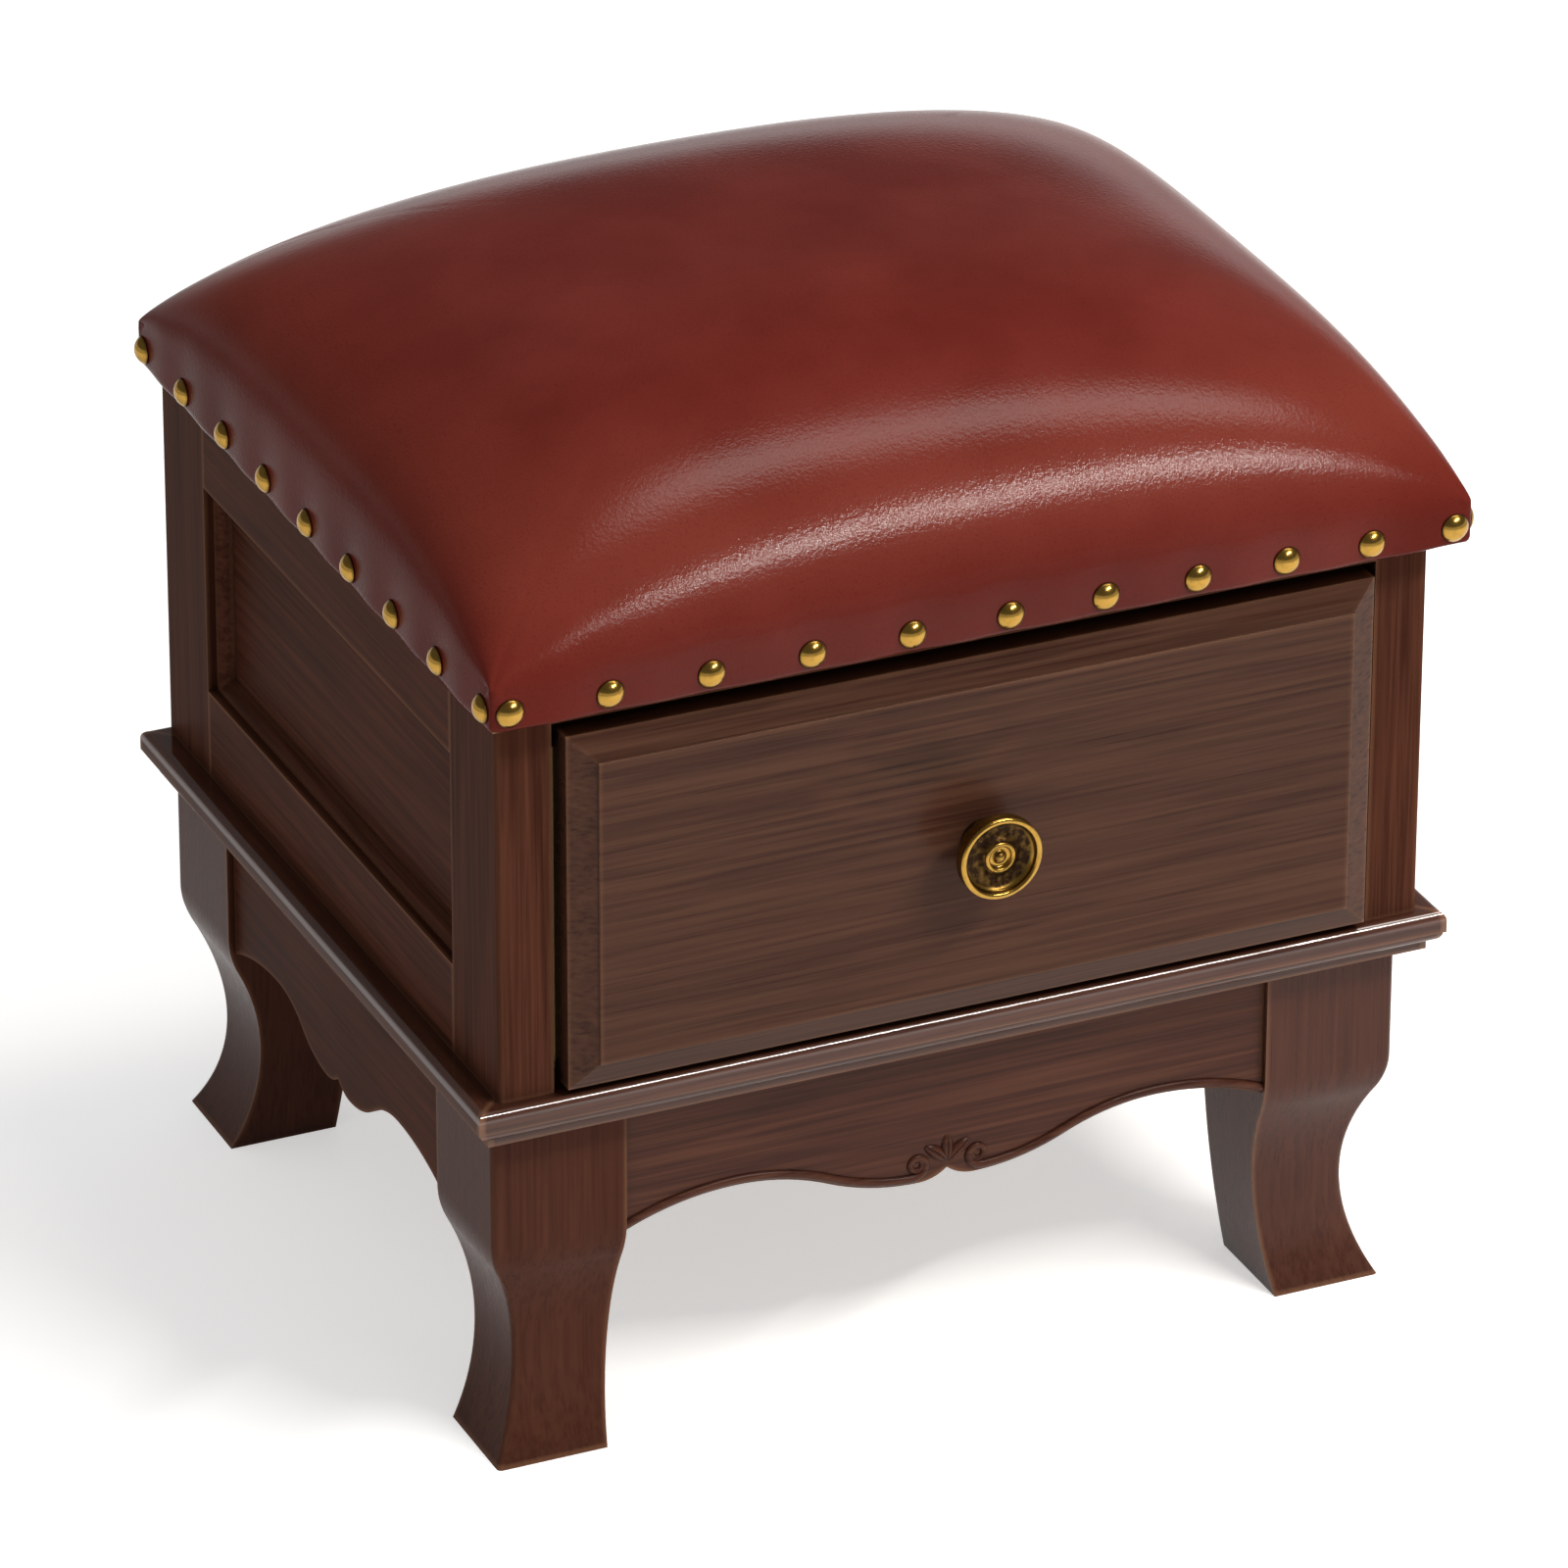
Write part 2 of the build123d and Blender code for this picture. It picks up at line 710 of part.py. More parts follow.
def nail_places():
    """Where the nails sit round the seat's edge, each facing outwards.

    The front and back rows were set by eye and drift to the right between their end nails.
    """
    height = seat_bottom + nail_lift
    places = []
    for number in range(nails_along_front):
        share = number / (nails_along_front - 1)
        drift = nail_drift * sin(pi * share**nail_drift_skew)
        x = (2 * share - 1) * (seat_half_x - nail_inset) + drift
        places.append(Pos(x, seat_front, height) * Rot(0, 0, turn_front))
        places.append(Pos(x, seat_rear, height) * Rot(0, 0, turn_rear))
    for number in range(nails_along_side):
        share = number / (nails_along_side - 1)
        y = seat_y + (2 * share - 1) * (seat_half_y - nail_inset)
        places.append(Pos(-seat_half_x, y, height) * Rot(0, 0, turn_left))
        places.append(Pos(seat_half_x, y, height) * Rot(0, 0, turn_right))
    return places


def make_seat():
    places = nail_places()
    shank_hole = Rot(-90, 0, 0) * Cylinder(
        nail_shank_diameter / 2 + screw_hole_play,
        nail_shank_length + screw_hole_play,
        align=(Align.CENTER, Align.CENTER, Align.MIN),
    )
    nail_holes = [place * shank_hole for place in places]
    board_inset = leather_thickness
    board = block(
        (board_inset - seat_half_x, seat_half_x - board_inset),
        (seat_front + board_inset, seat_rear - board_inset),
        (seat_bottom, board_top),
    )
    cleat_y = front + stile_width, rear - frame_thickness
    cleat_bottom = seat_bottom - cleat_size
    cleat = block((opening_half - cleat_size, opening_half), cleat_y, (cleat_bottom, seat_bottom))
    screws = []
    screw_holes = []
    length = cleat_size + screw_bite - screw_head_height
    for side in (-1, 1):
        for number in range(seat_screws_per_cleat):
            share = number / (seat_screws_per_cleat - 1)
            y = cleat_y[0] + screw_end_margin + share * (cleat_y[1] - cleat_y[0] - 2 * screw_end_margin)
            point = side * (opening_half - cleat_size / 2), y, cleat_bottom
            one, hole = screw_with_hole(length, point)
            screws.append(one)
            screw_holes.append(hole)
    hollow = crown(leather_thickness, seat_bottom - leather_thickness)
    foam = crown(leather_thickness + foam_play, seat_bottom)
    foam &= block(
        (-seat_half_x, seat_half_x), (seat_front, seat_rear), (board_top, board_top + seat_crown)
    )
    one_nail = nail()
    return {
        "seat_board": board - nail_holes - screw_holes,
        "foam_pad": foam,
        "leather_cover": crown(0, seat_bottom) - hollow - nail_holes,
        "seat_nails": [place * one_nail for place in places],
        "seat_cleat_right": cleat - screw_holes,
        "seat_cleat_left": mirror(cleat, Plane.YZ) - screw_holes,
        "seat_screws": screws,
    }


# Build every piece and write one file for each

stand, stand_holes = make_stand()
pieces = make_legs()
pieces.update(stand)
pieces.update(make_waist(stand_holes))
pieces.update(make_carcass())
pieces.update(make_drawer_supports())
pieces.update(make_drawer())
pieces.update(make_seat())

os.makedirs("parts", exist_ok=True)
for name, piece in pieces.items():
    solids = piece if isinstance(piece, list) else piece.solids()
    shape = solids[0] if len(solids) == 1 else Compound(solids)
    export_step(shape, f"parts/{name}.step")
print(len(pieces), "pieces written")
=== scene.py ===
import bpy
import numpy as np
from mathutils import Matrix, Vector


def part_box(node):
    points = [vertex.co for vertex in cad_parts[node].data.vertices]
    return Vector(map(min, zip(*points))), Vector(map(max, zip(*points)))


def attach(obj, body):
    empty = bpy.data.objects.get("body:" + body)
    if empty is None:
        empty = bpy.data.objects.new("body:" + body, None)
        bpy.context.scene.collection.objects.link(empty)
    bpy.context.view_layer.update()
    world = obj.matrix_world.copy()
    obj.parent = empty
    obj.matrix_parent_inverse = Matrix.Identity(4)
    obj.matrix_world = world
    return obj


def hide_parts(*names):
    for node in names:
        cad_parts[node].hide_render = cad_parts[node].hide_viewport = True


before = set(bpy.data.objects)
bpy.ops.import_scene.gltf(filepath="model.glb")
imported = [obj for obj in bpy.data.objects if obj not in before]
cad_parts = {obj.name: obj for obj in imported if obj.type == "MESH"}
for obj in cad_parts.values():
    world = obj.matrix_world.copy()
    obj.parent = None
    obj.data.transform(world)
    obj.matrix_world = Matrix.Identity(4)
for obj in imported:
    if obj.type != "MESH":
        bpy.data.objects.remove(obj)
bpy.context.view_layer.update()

# Storage footstool, dressed from the floor up: stand, waist, box, drawer and knob, leather seat, nails.
mm = 0.001


# Legs: four cabriole legs, each sawn from one block and shaped on both outer faces, grain upright.
# Hardwood stained to dark walnut and rubbed down under satin lacquer, glued to the aprons.

grain_x, grain_y, grain_z = 0, 1, 2


def linear(colour):
    """An sRGB hex colour as linear RGBA, each channel by the sRGB curve."""
    channels = np.array([int(colour[place:place + 2], 16) for place in (1, 3, 5)]) / 255
    curve = np.where(channels <= 0.04045, channels / 12.92, ((channels + 0.055) / 1.055) ** 2.4)
    return (*curve.tolist(), 1.0)


def node(tree, kind, inputs, **settings):
    """Add a node, set its properties, then set or link its inputs by name or number.

    A Map Range reads the range in its inputs 1 and 2 and gives the one in 3 and 4.
    A Mix of colours takes its share in input 0 and the two colours in 6 and 7.
    """
    made = tree.nodes.new("ShaderNode" + kind)
    for name, value in settings.items():
        setattr(made, name, value)
    for name, value in inputs.items():
        if isinstance(value, bpy.types.NodeSocket):
            tree.links.new(value, made.inputs[name])
        else:
            made.inputs[name].default_value = value
    return made


def blank_material(name):
    """An empty material, its node tree and the socket of its object coordinates."""
    material = bpy.data.materials.new(name)
    material.use_nodes = True
    material.node_tree.nodes.clear()
    tree = material.node_tree
    return material, tree, node(tree, "TexCoord", {}).outputs["Object"]


# Tones of a timber: its dark lines (also its painted corner shade), its ground, its light streaks, and its
# worn arrises, lightened partly as a painted highlight.
walnut_tones = "#29140e", "#4a291f", "#684130", "#a37556"


def along_grain(tree, place, grain, start, draw_out):
    """Coordinates squeezed along the grain, so that a pattern on them is drawn out by that many times."""
    squeeze = [1.0, 1.0, 1.0]
    squeeze[grain] = 1 / draw_out
    return node(tree, "Mapping", {"Vector": place, "Location": start, "Scale": squeeze}).outputs[0]


def sawn_timber(
    name, grain, start, tones=walnut_tones, rough=(0.3, 0.42), shine=0.008, bold=0.85,
    knot=None, cuts=None, rubbed=None,
):
    """Sawn timber: rings, fibre and pores drawn out along the grain, arrises lighter as wear and as a painted
    highlight, and painted shade in the corners.

    Rings are level lines of slow noise, the sine of a multiple of it. Fibre and pores are finer noise, drawn
    out longer, and another slow noise shades the board in long patches. Start is the place in the log that a
    board is cut from, and bold says how strongly its figure shows. A knot, where one is given, lifts the slow
    noise round a point so that the rings bend about it. Cuts, where given, name the attribute that darkens a
    carving in its cuts, partly as pooled stain and partly as painted shade, and there the arrises aren't
    lightened. Rubbed, where given, is two heights and the shine that the finish is rubbed up to between them.
    """
    shade_patch, ring_patch, fibre_width, pore_width = 40 * mm, 55 * mm, 1.7 * mm, 0.9 * mm
    ring_turns, ring_draw, fibre_draw = 60.0, 8.0, 50.0
    shade_depth, ring_depth, streak_depth, pore_depth = (depth * bold for depth in (0.4, 0.45, 0.6, 0.45))
    arris_width, arris_depth, corner_shade_reach, corner_shade_depth = 2.2 * mm, 0.36, 10 * mm, 0.9
    dark, middle, light, worn_highlight_tone = (linear(tone) for tone in tones)
    material, tree, place = blank_material(name)
    waved = along_grain(tree, place, grain, start, ring_draw)
    drawn = along_grain(tree, place, grain, start, fibre_draw)
    # Noise lies mostly round the middle of 0 to 1, so what is made of it reads a narrower range.
    slow = node(tree, "TexNoise", {"Vector": waved, "Scale": 1 / ring_patch, "Detail": 2.0}).outputs[0]
    broad = node(tree, "TexNoise", {"Vector": waved, "Scale": 1 / shade_patch, "Detail": 1.0}).outputs[0]
    cast = node(tree, "MapRange", {0: broad, 1: 0.35, 2: 0.65, 3: 0.0, 4: shade_depth}).outputs[0]
    shade = node(tree, "Mix", {0: cast, 6: middle, 7: dark}, data_type="RGBA").outputs[2]
    if knot:
        centre, reach, lift = knot
        knot_draw, eye_inner, eye_outer, eye_depth = 2.0, 0.1 * reach, 0.5 * reach, 0.85
        moved = node(tree, "Mapping", {"Vector": place, "Location": [-value for value in centre]})
        squeezed = [1.0, 1.0, 1.0]
        squeezed[grain] = 1 / knot_draw
        oval = node(tree, "VectorMath", {0: moved.outputs[0], 1: squeezed}, operation="MULTIPLY")
        far = node(tree, "VectorMath", {0: oval.outputs[0]}, operation="LENGTH").outputs["Value"]
        hump = {0: far, 1: 0.0, 2: reach, 3: 1.0, 4: 0.0}
        near = node(tree, "MapRange", hump, interpolation_type="SMOOTHSTEP")
        raised = node(tree, "Math", {0: near.outputs[0], 1: lift, 2: slow}, operation="MULTIPLY_ADD")
        slow = raised.outputs[0]
        eye = node(tree, "MapRange", {0: far, 1: eye_inner, 2: eye_outer, 3: eye_depth, 4: 0.0})
        shade = node(tree, "Mix", {0: eye.outputs[0], 6: shade, 7: dark}, data_type="RGBA").outputs[2]
    turns = node(tree, "Math", {0: slow, 1: ring_turns}, operation="MULTIPLY").outputs[0]
    wave = node(tree, "Math", {0: turns}, operation="SINE").outputs[0]
    rings = node(tree, "MapRange", {0: wave, 1: -1.0, 2: 1.0, 3: 0.0, 4: ring_depth}).outputs[0]
    fibre = node(tree, "TexNoise", {"Vector": drawn, "Scale": 1 / fibre_width, "Detail": 3.0}).outputs[0]
    streak = node(tree, "MapRange", {0: fibre, 1: 0.34, 2: 0.7, 3: 0.0, 4: streak_depth}).outputs[0]
    speck = node(tree, "TexNoise", {"Vector": drawn, "Scale": 1 / pore_width, "Detail": 1.0}).outputs[0]
    pores = node(tree, "MapRange", {0: speck, 1: 0.6, 2: 0.76, 3: 0.0, 4: pore_depth}).outputs[0]
    ringed = node(tree, "Mix", {0: rings, 6: shade, 7: dark}, data_type="RGBA").outputs[2]
    streaked = node(tree, "Mix", {0: streak, 6: ringed, 7: light}, data_type="RGBA").outputs[2]
    colour = node(tree, "Mix", {0: pores, 6: streaked, 7: dark}, data_type="RGBA").outputs[2]
    if cuts:
        # A carving is darker in its cuts, partly as pooled stain and partly as painted shade in the creases.
        pooled_stain_and_shade = node(tree, "Attribute", {}, attribute_name=cuts).outputs["Fac"]
        colour = node(tree, "Mix", {0: pooled_stain_and_shade, 6: colour, 7: dark}, data_type="RGBA").outputs[2]
    else:
        # Arrises are lightened, partly as wear and partly as a painted highlight along each edge.
        arris = node(
            tree, "AmbientOcclusion", {"Distance": arris_width}, inside=True, only_local=True, samples=4,
        ).outputs["AO"]
        worn_and_highlit = node(tree, "MapRange", {0: arris, 1: 0.5, 2: 0.95, 3: arris_depth, 4: 0.0}).outputs[0]
        colour = node(tree, "Mix", {0: worn_and_highlit, 6: colour, 7: worn_highlight_tone}, data_type="RGBA").outputs[2]
    # Painted shade: ambient occlusion darkens the board in its corners, gaps and recesses.
    corner = node(tree, "AmbientOcclusion", {"Distance": corner_shade_reach}, samples=4).outputs["AO"]
    painted_corner_shade = node(tree, "MapRange", {0: corner, 1: 0.2, 2: 0.9, 3: corner_shade_depth, 4: 0.0}).outputs[0]
    colour = node(tree, "Mix", {0: painted_corner_shade, 6: colour, 7: dark}, data_type="RGBA").outputs[2]
    if rubbed:
        low, high, brightest = rubbed
        height = node(tree, "SeparateXYZ", {0: place}).outputs["Z"]
        shine = node(tree, "MapRange", {0: height, 1: low, 2: high, 3: shine, 4: brightest}).outputs[0]
    satin = node(tree, "MapRange", {0: fibre, 1: 0.3, 2: 0.7, 3: rough[0], 4: rough[1]}).outputs[0]
    relief = node(tree, "Math", {0: fibre, 1: pores}, operation="SUBTRACT").outputs[0]
    skin = node(tree, "Bump", {"Height": relief, "Strength": 0.1, "Distance": 0.2 * mm}).outputs[0]
    shader = node(tree, "BsdfPrincipled", {
        "Base Color": colour, "Roughness": satin, "Normal": skin, "IOR": 1.45, "Specular IOR Level": shine,
    })
    node(tree, "OutputMaterial", {"Surface": shader.outputs[0]})
    return material


def dress(names, material):
    """Give the material slots of these CAD pieces a finish."""
    for name in names:
        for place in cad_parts[name].material_slots:
            place.material = material


# In the photo the front right leg shines the most.
corners = "front_left", "front_right", "rear_left", "rear_right"
for number, leg in enumerate(corners):
    leg_wood = sawn_timber(
        f"stained_walnut_leg_{leg}", grain_z, (0.31 * number, 0.12, 0.05), rough=(0.24, 0.34),
        shine=0.2 if leg == "front_right" else 0.05, bold=0.45,
    )
    dress([f"leg_{leg}"], leg_wood)


# Aprons: scalloped boards set a little behind the knees, grain along each board, same stain as the legs.
# Behind them plain pine glue blocks and zinc-plated screws hold the stand to the waist.

frame_sides = ("front", grain_x), ("rear", grain_x), ("left", grain_y), ("right", grain_y)
for number, (side, grain) in enumerate(frame_sides):
    apron_wood = sawn_timber(
        f"stained_walnut_apron_{side}", grain, (0.2, 0.4 * number, 0.3),
        shine=0.15 if side == "front" else 0.01,
    )
    dress([f"apron_{side}"], apron_wood)

# Bare pine gives the eye a pale straw colour without shine.
pine_tones = "#a9855a", "#c9a878", "#dcc196", "#e0c8a0"
plain_pine = sawn_timber("planed_pine", grain_z, (0.1, 0.2, 0.3), pine_tones, (0.55, 0.7))
dress([f"glue_blocks_{side}" for side, _ in frame_sides], plain_pine)


def plated_steel():
    """Zinc-plated steel: a bluish-grey metal with a slightly cloudy shine from the plating bath."""
    cloud = 3 * mm
    grey, silver = linear("#9aa0a4"), linear("#c6cacc")
    material, tree, place = blank_material("zinc_plated_steel")
    haze = node(tree, "TexNoise", {"Vector": place, "Scale": 1 / cloud, "Detail": 3.0}).outputs[0]
    tone = node(tree, "Mix", {0: haze, 6: grey, 7: silver}, data_type="RGBA").outputs[2]
    rough = node(tree, "MapRange", {0: haze, 3: 0.25, 4: 0.45}).outputs[0]
    shader = node(tree, "BsdfPrincipled", {"Base Color": tone, "Metallic": 1.0, "Roughness": rough})
    node(tree, "OutputMaterial", {"Surface": shader.outputs[0]})
    return material


steel = plated_steel()
dress(["stand_screws"], steel)


# Carving on the front apron: a bead along the scalloped edge, curled into a scroll on each side of the notch,
# and three leaves fanned out between the scrolls. Low relief in the same wood, darker in the cuts, partly as
# pooled stain and partly as painted shade.


def surface_piece(name, points, faces, material, body):
    """A smooth-shaded mesh of these points and faces that rides on a body."""
    mesh = bpy.data.meshes.new(name)
    mesh.from_pydata(points.reshape(-1, 3).tolist(), [], faces)
    mesh.polygons.foreach_set("use_smooth", np.ones(len(mesh.polygons), bool))
    mesh.materials.append(material)
    made = bpy.data.objects.new(name, mesh)
    bpy.context.collection.objects.link(made)
    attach(made, body)
    return made


def grid_faces(rows, columns, first=0, closed=False):
    """Quads of a grid numbered row by row from first, the last column joined to the first one if closed."""
    spans = columns if closed else columns - 1
    row, column = np.meshgrid(np.arange(rows - 1), np.arange(spans), indexing="ij")
    here, onward = row * columns + column, row * columns + (column + 1) % columns
    quads = np.stack([here, onward, onward + columns, here + columns], -1)
    return (first + quads.reshape(-1, 4)).tolist()


def end_caps(rows, columns, first=0):
    """Two faces that close a grid joined round its columns: over its first row and over its last."""
    last = first + (rows - 1) * columns
    return [list(range(first + columns - 1, first - 1, -1)), list(range(last, last + columns))]


def point_attribute(piece, name, values):
    """Write one number for each point of a piece's mesh."""
    piece.data.attributes.new(name, "FLOAT", "POINT").data.foreach_set("value", np.ravel(values))


def lower_edge(name, face_y, below_z, places):
    """Height of a board's lower edge at places along it, on straight lines between its face's corners."""
    flush = 0.05 * mm
    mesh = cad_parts[name].data
    points = np.empty(len(mesh.vertices) * 3)
    mesh.vertices.foreach_get("co", points)
    x, y, z = points.reshape(-1, 3).T
    on_edge = (np.abs(y - face_y) < flush) & (z < below_z)
    order = np.lexsort((z[on_edge], x[on_edge]))
    along, first = np.unique(x[on_edge][order].round(5), return_index=True)
    return np.interp(places, along, z[on_edge][order][first])


def edge_bead(half_length, face_y, below_z):
    """The left half's bead: a half-round section carried along the edge, then round a tightening scroll.

    The line lies a little above the edge. In the scroll its heading turns by a power of the share of length.
    """
    inset, scroll_start, scroll_length = 2.6 * mm, 17 * mm, 34 * mm
    scroll_turn, scroll_power, stain_and_shade_power = np.radians(560), 1.5, 5
    wide, narrow, sunk = 1.9 * mm, 1.1 * mm, 0.2 * mm
    edge_steps, scroll_steps, section_steps = 120, 80, 13
    edge_x = np.linspace(-half_length, -scroll_start, edge_steps)
    edge_z = lower_edge("apron_front", face_y, below_z, edge_x)
    heading = np.arctan2(np.gradient(edge_z), np.gradient(edge_x))
    line_x = edge_x - inset * np.sin(heading)
    line_z = edge_z + inset * np.cos(heading)
    share = np.linspace(0, 1, scroll_steps + 1)[1:]
    curling = heading[-1] + scroll_turn * share**scroll_power
    curl_x = line_x[-1] + np.cumsum(np.cos(curling)) * scroll_length / scroll_steps
    curl_z = line_z[-1] + np.cumsum(np.sin(curling)) * scroll_length / scroll_steps
    heading = np.concatenate([heading, curling])[:, None]
    line_x = np.concatenate([line_x, curl_x])[:, None]
    line_z = np.concatenate([line_z, curl_z])[:, None]
    radius = np.concatenate([np.full(edge_steps, wide), wide + (narrow - wide) * share])[:, None]
    across = np.radians(np.linspace(180, 0, section_steps))
    x = line_x - radius * np.cos(across) * np.sin(heading)
    z = line_z + radius * np.cos(across) * np.cos(heading)
    y = face_y + sunk - radius * np.sin(across)
    # Darker at the bead's feet, where it meets the board: partly pooled stain, partly painted shade.
    return np.stack([x, y, z], -1), np.broadcast_to(np.abs(np.cos(across)) ** stain_and_shade_power, x.shape)


leaf_rows, leaf_columns = 25, 17


def leaf_spray(face_y, foot_z):
    """Three leaves from one foot. A leaf's midrib starts at its lean and turns by its curl along its length.

    Half width is the square root of the sine of the share of length, and relief falls off as the square
    of the share of width, less a narrow groove along the midrib.
    """
    lean = np.radians([-34, 0, 34])[:, None]
    length = np.array([13, 12, 13])[:, None] * mm
    curl = np.radians([-30, 0, 30])[:, None]
    half_width, height, sunk = 2.9 * mm, 2.2 * mm, 0.2 * mm
    groove_depth, groove_share, stain_and_shade_power = 0.5, 0.16, 4
    share = np.linspace(0, 1, leaf_rows)
    turn = lean + curl * share
    step = length / (leaf_rows - 1)
    rib_x = np.cumsum(np.sin(turn), 1) * step
    rib_z = np.cumsum(np.cos(turn), 1) * step
    swell = np.sqrt(np.sin(np.pi * share))
    side = np.linspace(-1, 1, leaf_columns)
    reach = half_width * swell[None, :, None] * side
    groove = groove_depth * np.exp(-((side / groove_share) ** 2))
    relief = height * swell[None, :, None] * (1 - side**2) * (1 - groove)
    x = rib_x[..., None] + reach * np.cos(turn)[..., None]
    z = foot_z + rib_z[..., None] - reach * np.sin(turn)[..., None]
    y = face_y + sunk - relief
    # Darker at the leaf's edges and in its midrib groove: partly pooled stain, partly painted shade.
    stain_and_shade = np.broadcast_to(np.maximum(side**stain_and_shade_power, groove), x.shape)
    return np.stack(np.broadcast_arrays(x, y, z), -1), stain_and_shade


apron_low, apron_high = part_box("apron_front")
leaf_foot, top_margin, stain_and_shade_depth = 7 * mm, 5 * mm, 0.8
carved_walnut = sawn_timber(
    "carved_walnut", grain_x, (0.2, 0.0, 0.3), rough=(0.25, 0.35), shine=0.12, cuts="stain_and_shade",
)
leaves, leaf_stain_and_shade = leaf_spray(apron_low.y, apron_low.z + leaf_foot)
leaf_faces = []
for number in range(len(leaves)):
    leaf_faces += grid_faces(leaf_rows, leaf_columns, first=number * leaf_rows * leaf_columns)
spray = surface_piece("apron_carved_leaves", leaves, leaf_faces, carved_walnut, "cabinet")
left_bead, bead_stain_and_shade = edge_bead(apron_high.x, apron_low.y, apron_high.z - top_margin)
right_bead = left_bead[:, ::-1] * [-1, 1, 1]
both_beads = np.stack([left_bead, right_bead])
bead_faces = grid_faces(*bead_stain_and_shade.shape) + grid_faces(*bead_stain_and_shade.shape, first=bead_stain_and_shade.size)
bead = surface_piece("apron_carved_bead", both_beads, bead_faces, carved_walnut, "cabinet")
for carving, stain_and_shade in ((spray, leaf_stain_and_shade), (bead, np.stack([bead_stain_and_shade, bead_stain_and_shade]))):
    point_attribute(carving, "stain_and_shade", stain_and_shade * stain_and_shade_depth)


# Waist: a mitred frame with a rounded upper edge and an ovolo below, screwed on top of the stand.
# The same stained wood, polished a little brighter where hands and cloths have run along the round.

waist_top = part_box("waist_front")[1].z
round_low, round_high, round_shine = waist_top - 4.5 * mm, waist_top - 3 * mm, 1.0
for side, grain in frame_sides:
    waist_wood = sawn_timber(
        f"stained_walnut_waist_{side}", grain, (0.5, 0.1, 0.7), rough=(0.09, 0.14),
        shine=0.4 if side == "front" else 0.03, rubbed=(round_low, round_high, round_shine),
    )
    dress([f"waist_{side}"], waist_wood)

# The thin plywood inside gives a plain tan sheet, a little darker than the pine and as matt.
ply_tones = "#8d6a45", "#a9855c", "#c09c72", "#c7a57d"
floor_ply = sawn_timber("lauan_plywood", grain_x, (0.4, 0.4, 0.1), ply_tones, (0.5, 0.65))
dress(["bottom_panel"], floor_ply)


# Box: corner stiles with upright grain, rails and let-in panels with level grain, quarter-round beads.
# All stained walnut; inside, the runners, stops and cleats are left as plain pine.

for number, corner in enumerate(corners):
    stile_wood = sawn_timber(f"stained_walnut_stile_{corner}", grain_z, (0.3, 0.27 * number, 0.6))
    dress([f"stile_{corner}"], stile_wood)
for number, (side, grain) in enumerate((("left", grain_y), ("right", grain_y), ("back", grain_x))):
    rail_wood = sawn_timber(f"stained_walnut_rails_{side}", grain, (0.1, 0.1, 0.33 * number))
    panel_wood = sawn_timber(f"stained_walnut_panel_{side}", grain, (0.7, 0.6, 0.2 + 0.21 * number))
    dress([f"bottom_rail_{side}", f"top_rail_{side}", f"panel_beads_{side}"], rail_wood)
    dress([f"panel_{side}"], panel_wood)
dress(["top_rail_front"], sawn_timber("stained_walnut_front_rail", grain_x, (0.9, 0.2, 0.4)))
smooth_planed = 0.5, 0.66
runner_pine = sawn_timber("planed_pine_runners", grain_y, (0.3, 0.1, 0.2), pine_tones, smooth_planed)
dress(["drawer_runner_left", "drawer_runner_right", "seat_cleat_left", "seat_cleat_right"], runner_pine)
dress(["drawer_stops"], plain_pine)


# Drawer: a raised and fielded front of figured wood with one knot, screwed to a plain pine box.
# The box's boards are planed and left bare, its floor is a thin plywood sheet in grooves.

knot_centre = -24 * mm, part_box("drawer_front")[0].y, 292 * mm
knot_reach, knot_lift = 30 * mm, 0.2
figured_tones = "#25140e", "#45291f", "#644432", "#a37556"
figured = sawn_timber(
    "figured_walnut_drawer_front", grain_x, (0.15, 0.3, 0.45), figured_tones, rough=(0.26, 0.36), shine=0.12,
    bold=0.75, knot=(knot_centre, knot_reach, knot_lift),
)
dress(["drawer_front"], figured)
side_pine = sawn_timber("planed_pine_drawer_sides", grain_y, (0.6, 0.2, 0.1), pine_tones, smooth_planed)
end_pine = sawn_timber("planed_pine_drawer_ends", grain_x, (0.2, 0.5, 0.1), pine_tones, smooth_planed)
dress(["drawer_side_left", "drawer_side_right"], side_pine)
dress(["drawer_box_front", "drawer_back"], end_pine)
dress(["drawer_floor"], floor_ply)
dress(["drawer_front_screws", "knob_screw"], steel)


# Knob: turned from solid brass with a waisted neck, a bright rim, a dished face and a centre boss.
# Lacquer has kept the high rings yellow, and the dish has gone dark brown.


def aged_brass():
    """Turned brass gone dull in its hollows: patina, 0 bright to 1 dark, breaks up along fine noise.
    On the nail heads the same number is painted shade at the rim, where they meet the leather.
    """
    mottle, mottle_depth = 2.5 * mm, 0.18
    bright, brown = linear("#ad873f"), linear("#2b1d14")
    material, tree, place = blank_material("aged_brass")
    patch = node(tree, "TexNoise", {"Vector": place, "Scale": 1 / mottle, "Detail": 4.0}).outputs[0]
    tarnish_and_shade = node(tree, "Attribute", {}, attribute_name="patina_and_shade").outputs["Fac"]
    spread = node(tree, "MapRange", {0: patch, 1: 0.3, 2: 0.7, 3: -mottle_depth, 4: mottle_depth}).outputs[0]
    dull = node(tree, "Math", {0: tarnish_and_shade, 1: spread}, operation="ADD", use_clamp=True).outputs[0]
    tone = node(tree, "Mix", {0: dull, 6: bright, 7: brown}, data_type="RGBA").outputs[2]
    rough = node(tree, "MapRange", {0: dull, 3: 0.18, 4: 0.5}).outputs[0]
    skin = node(tree, "Bump", {"Height": patch, "Strength": 0.1, "Distance": 0.1 * mm}).outputs[0]
    shader = node(tree, "BsdfPrincipled", {
        "Base Color": tone, "Metallic": 1.0, "Roughness": rough, "Normal": skin,
    })
    node(tree, "OutputMaterial", {"Surface": shader.outputs[0]})
    return material


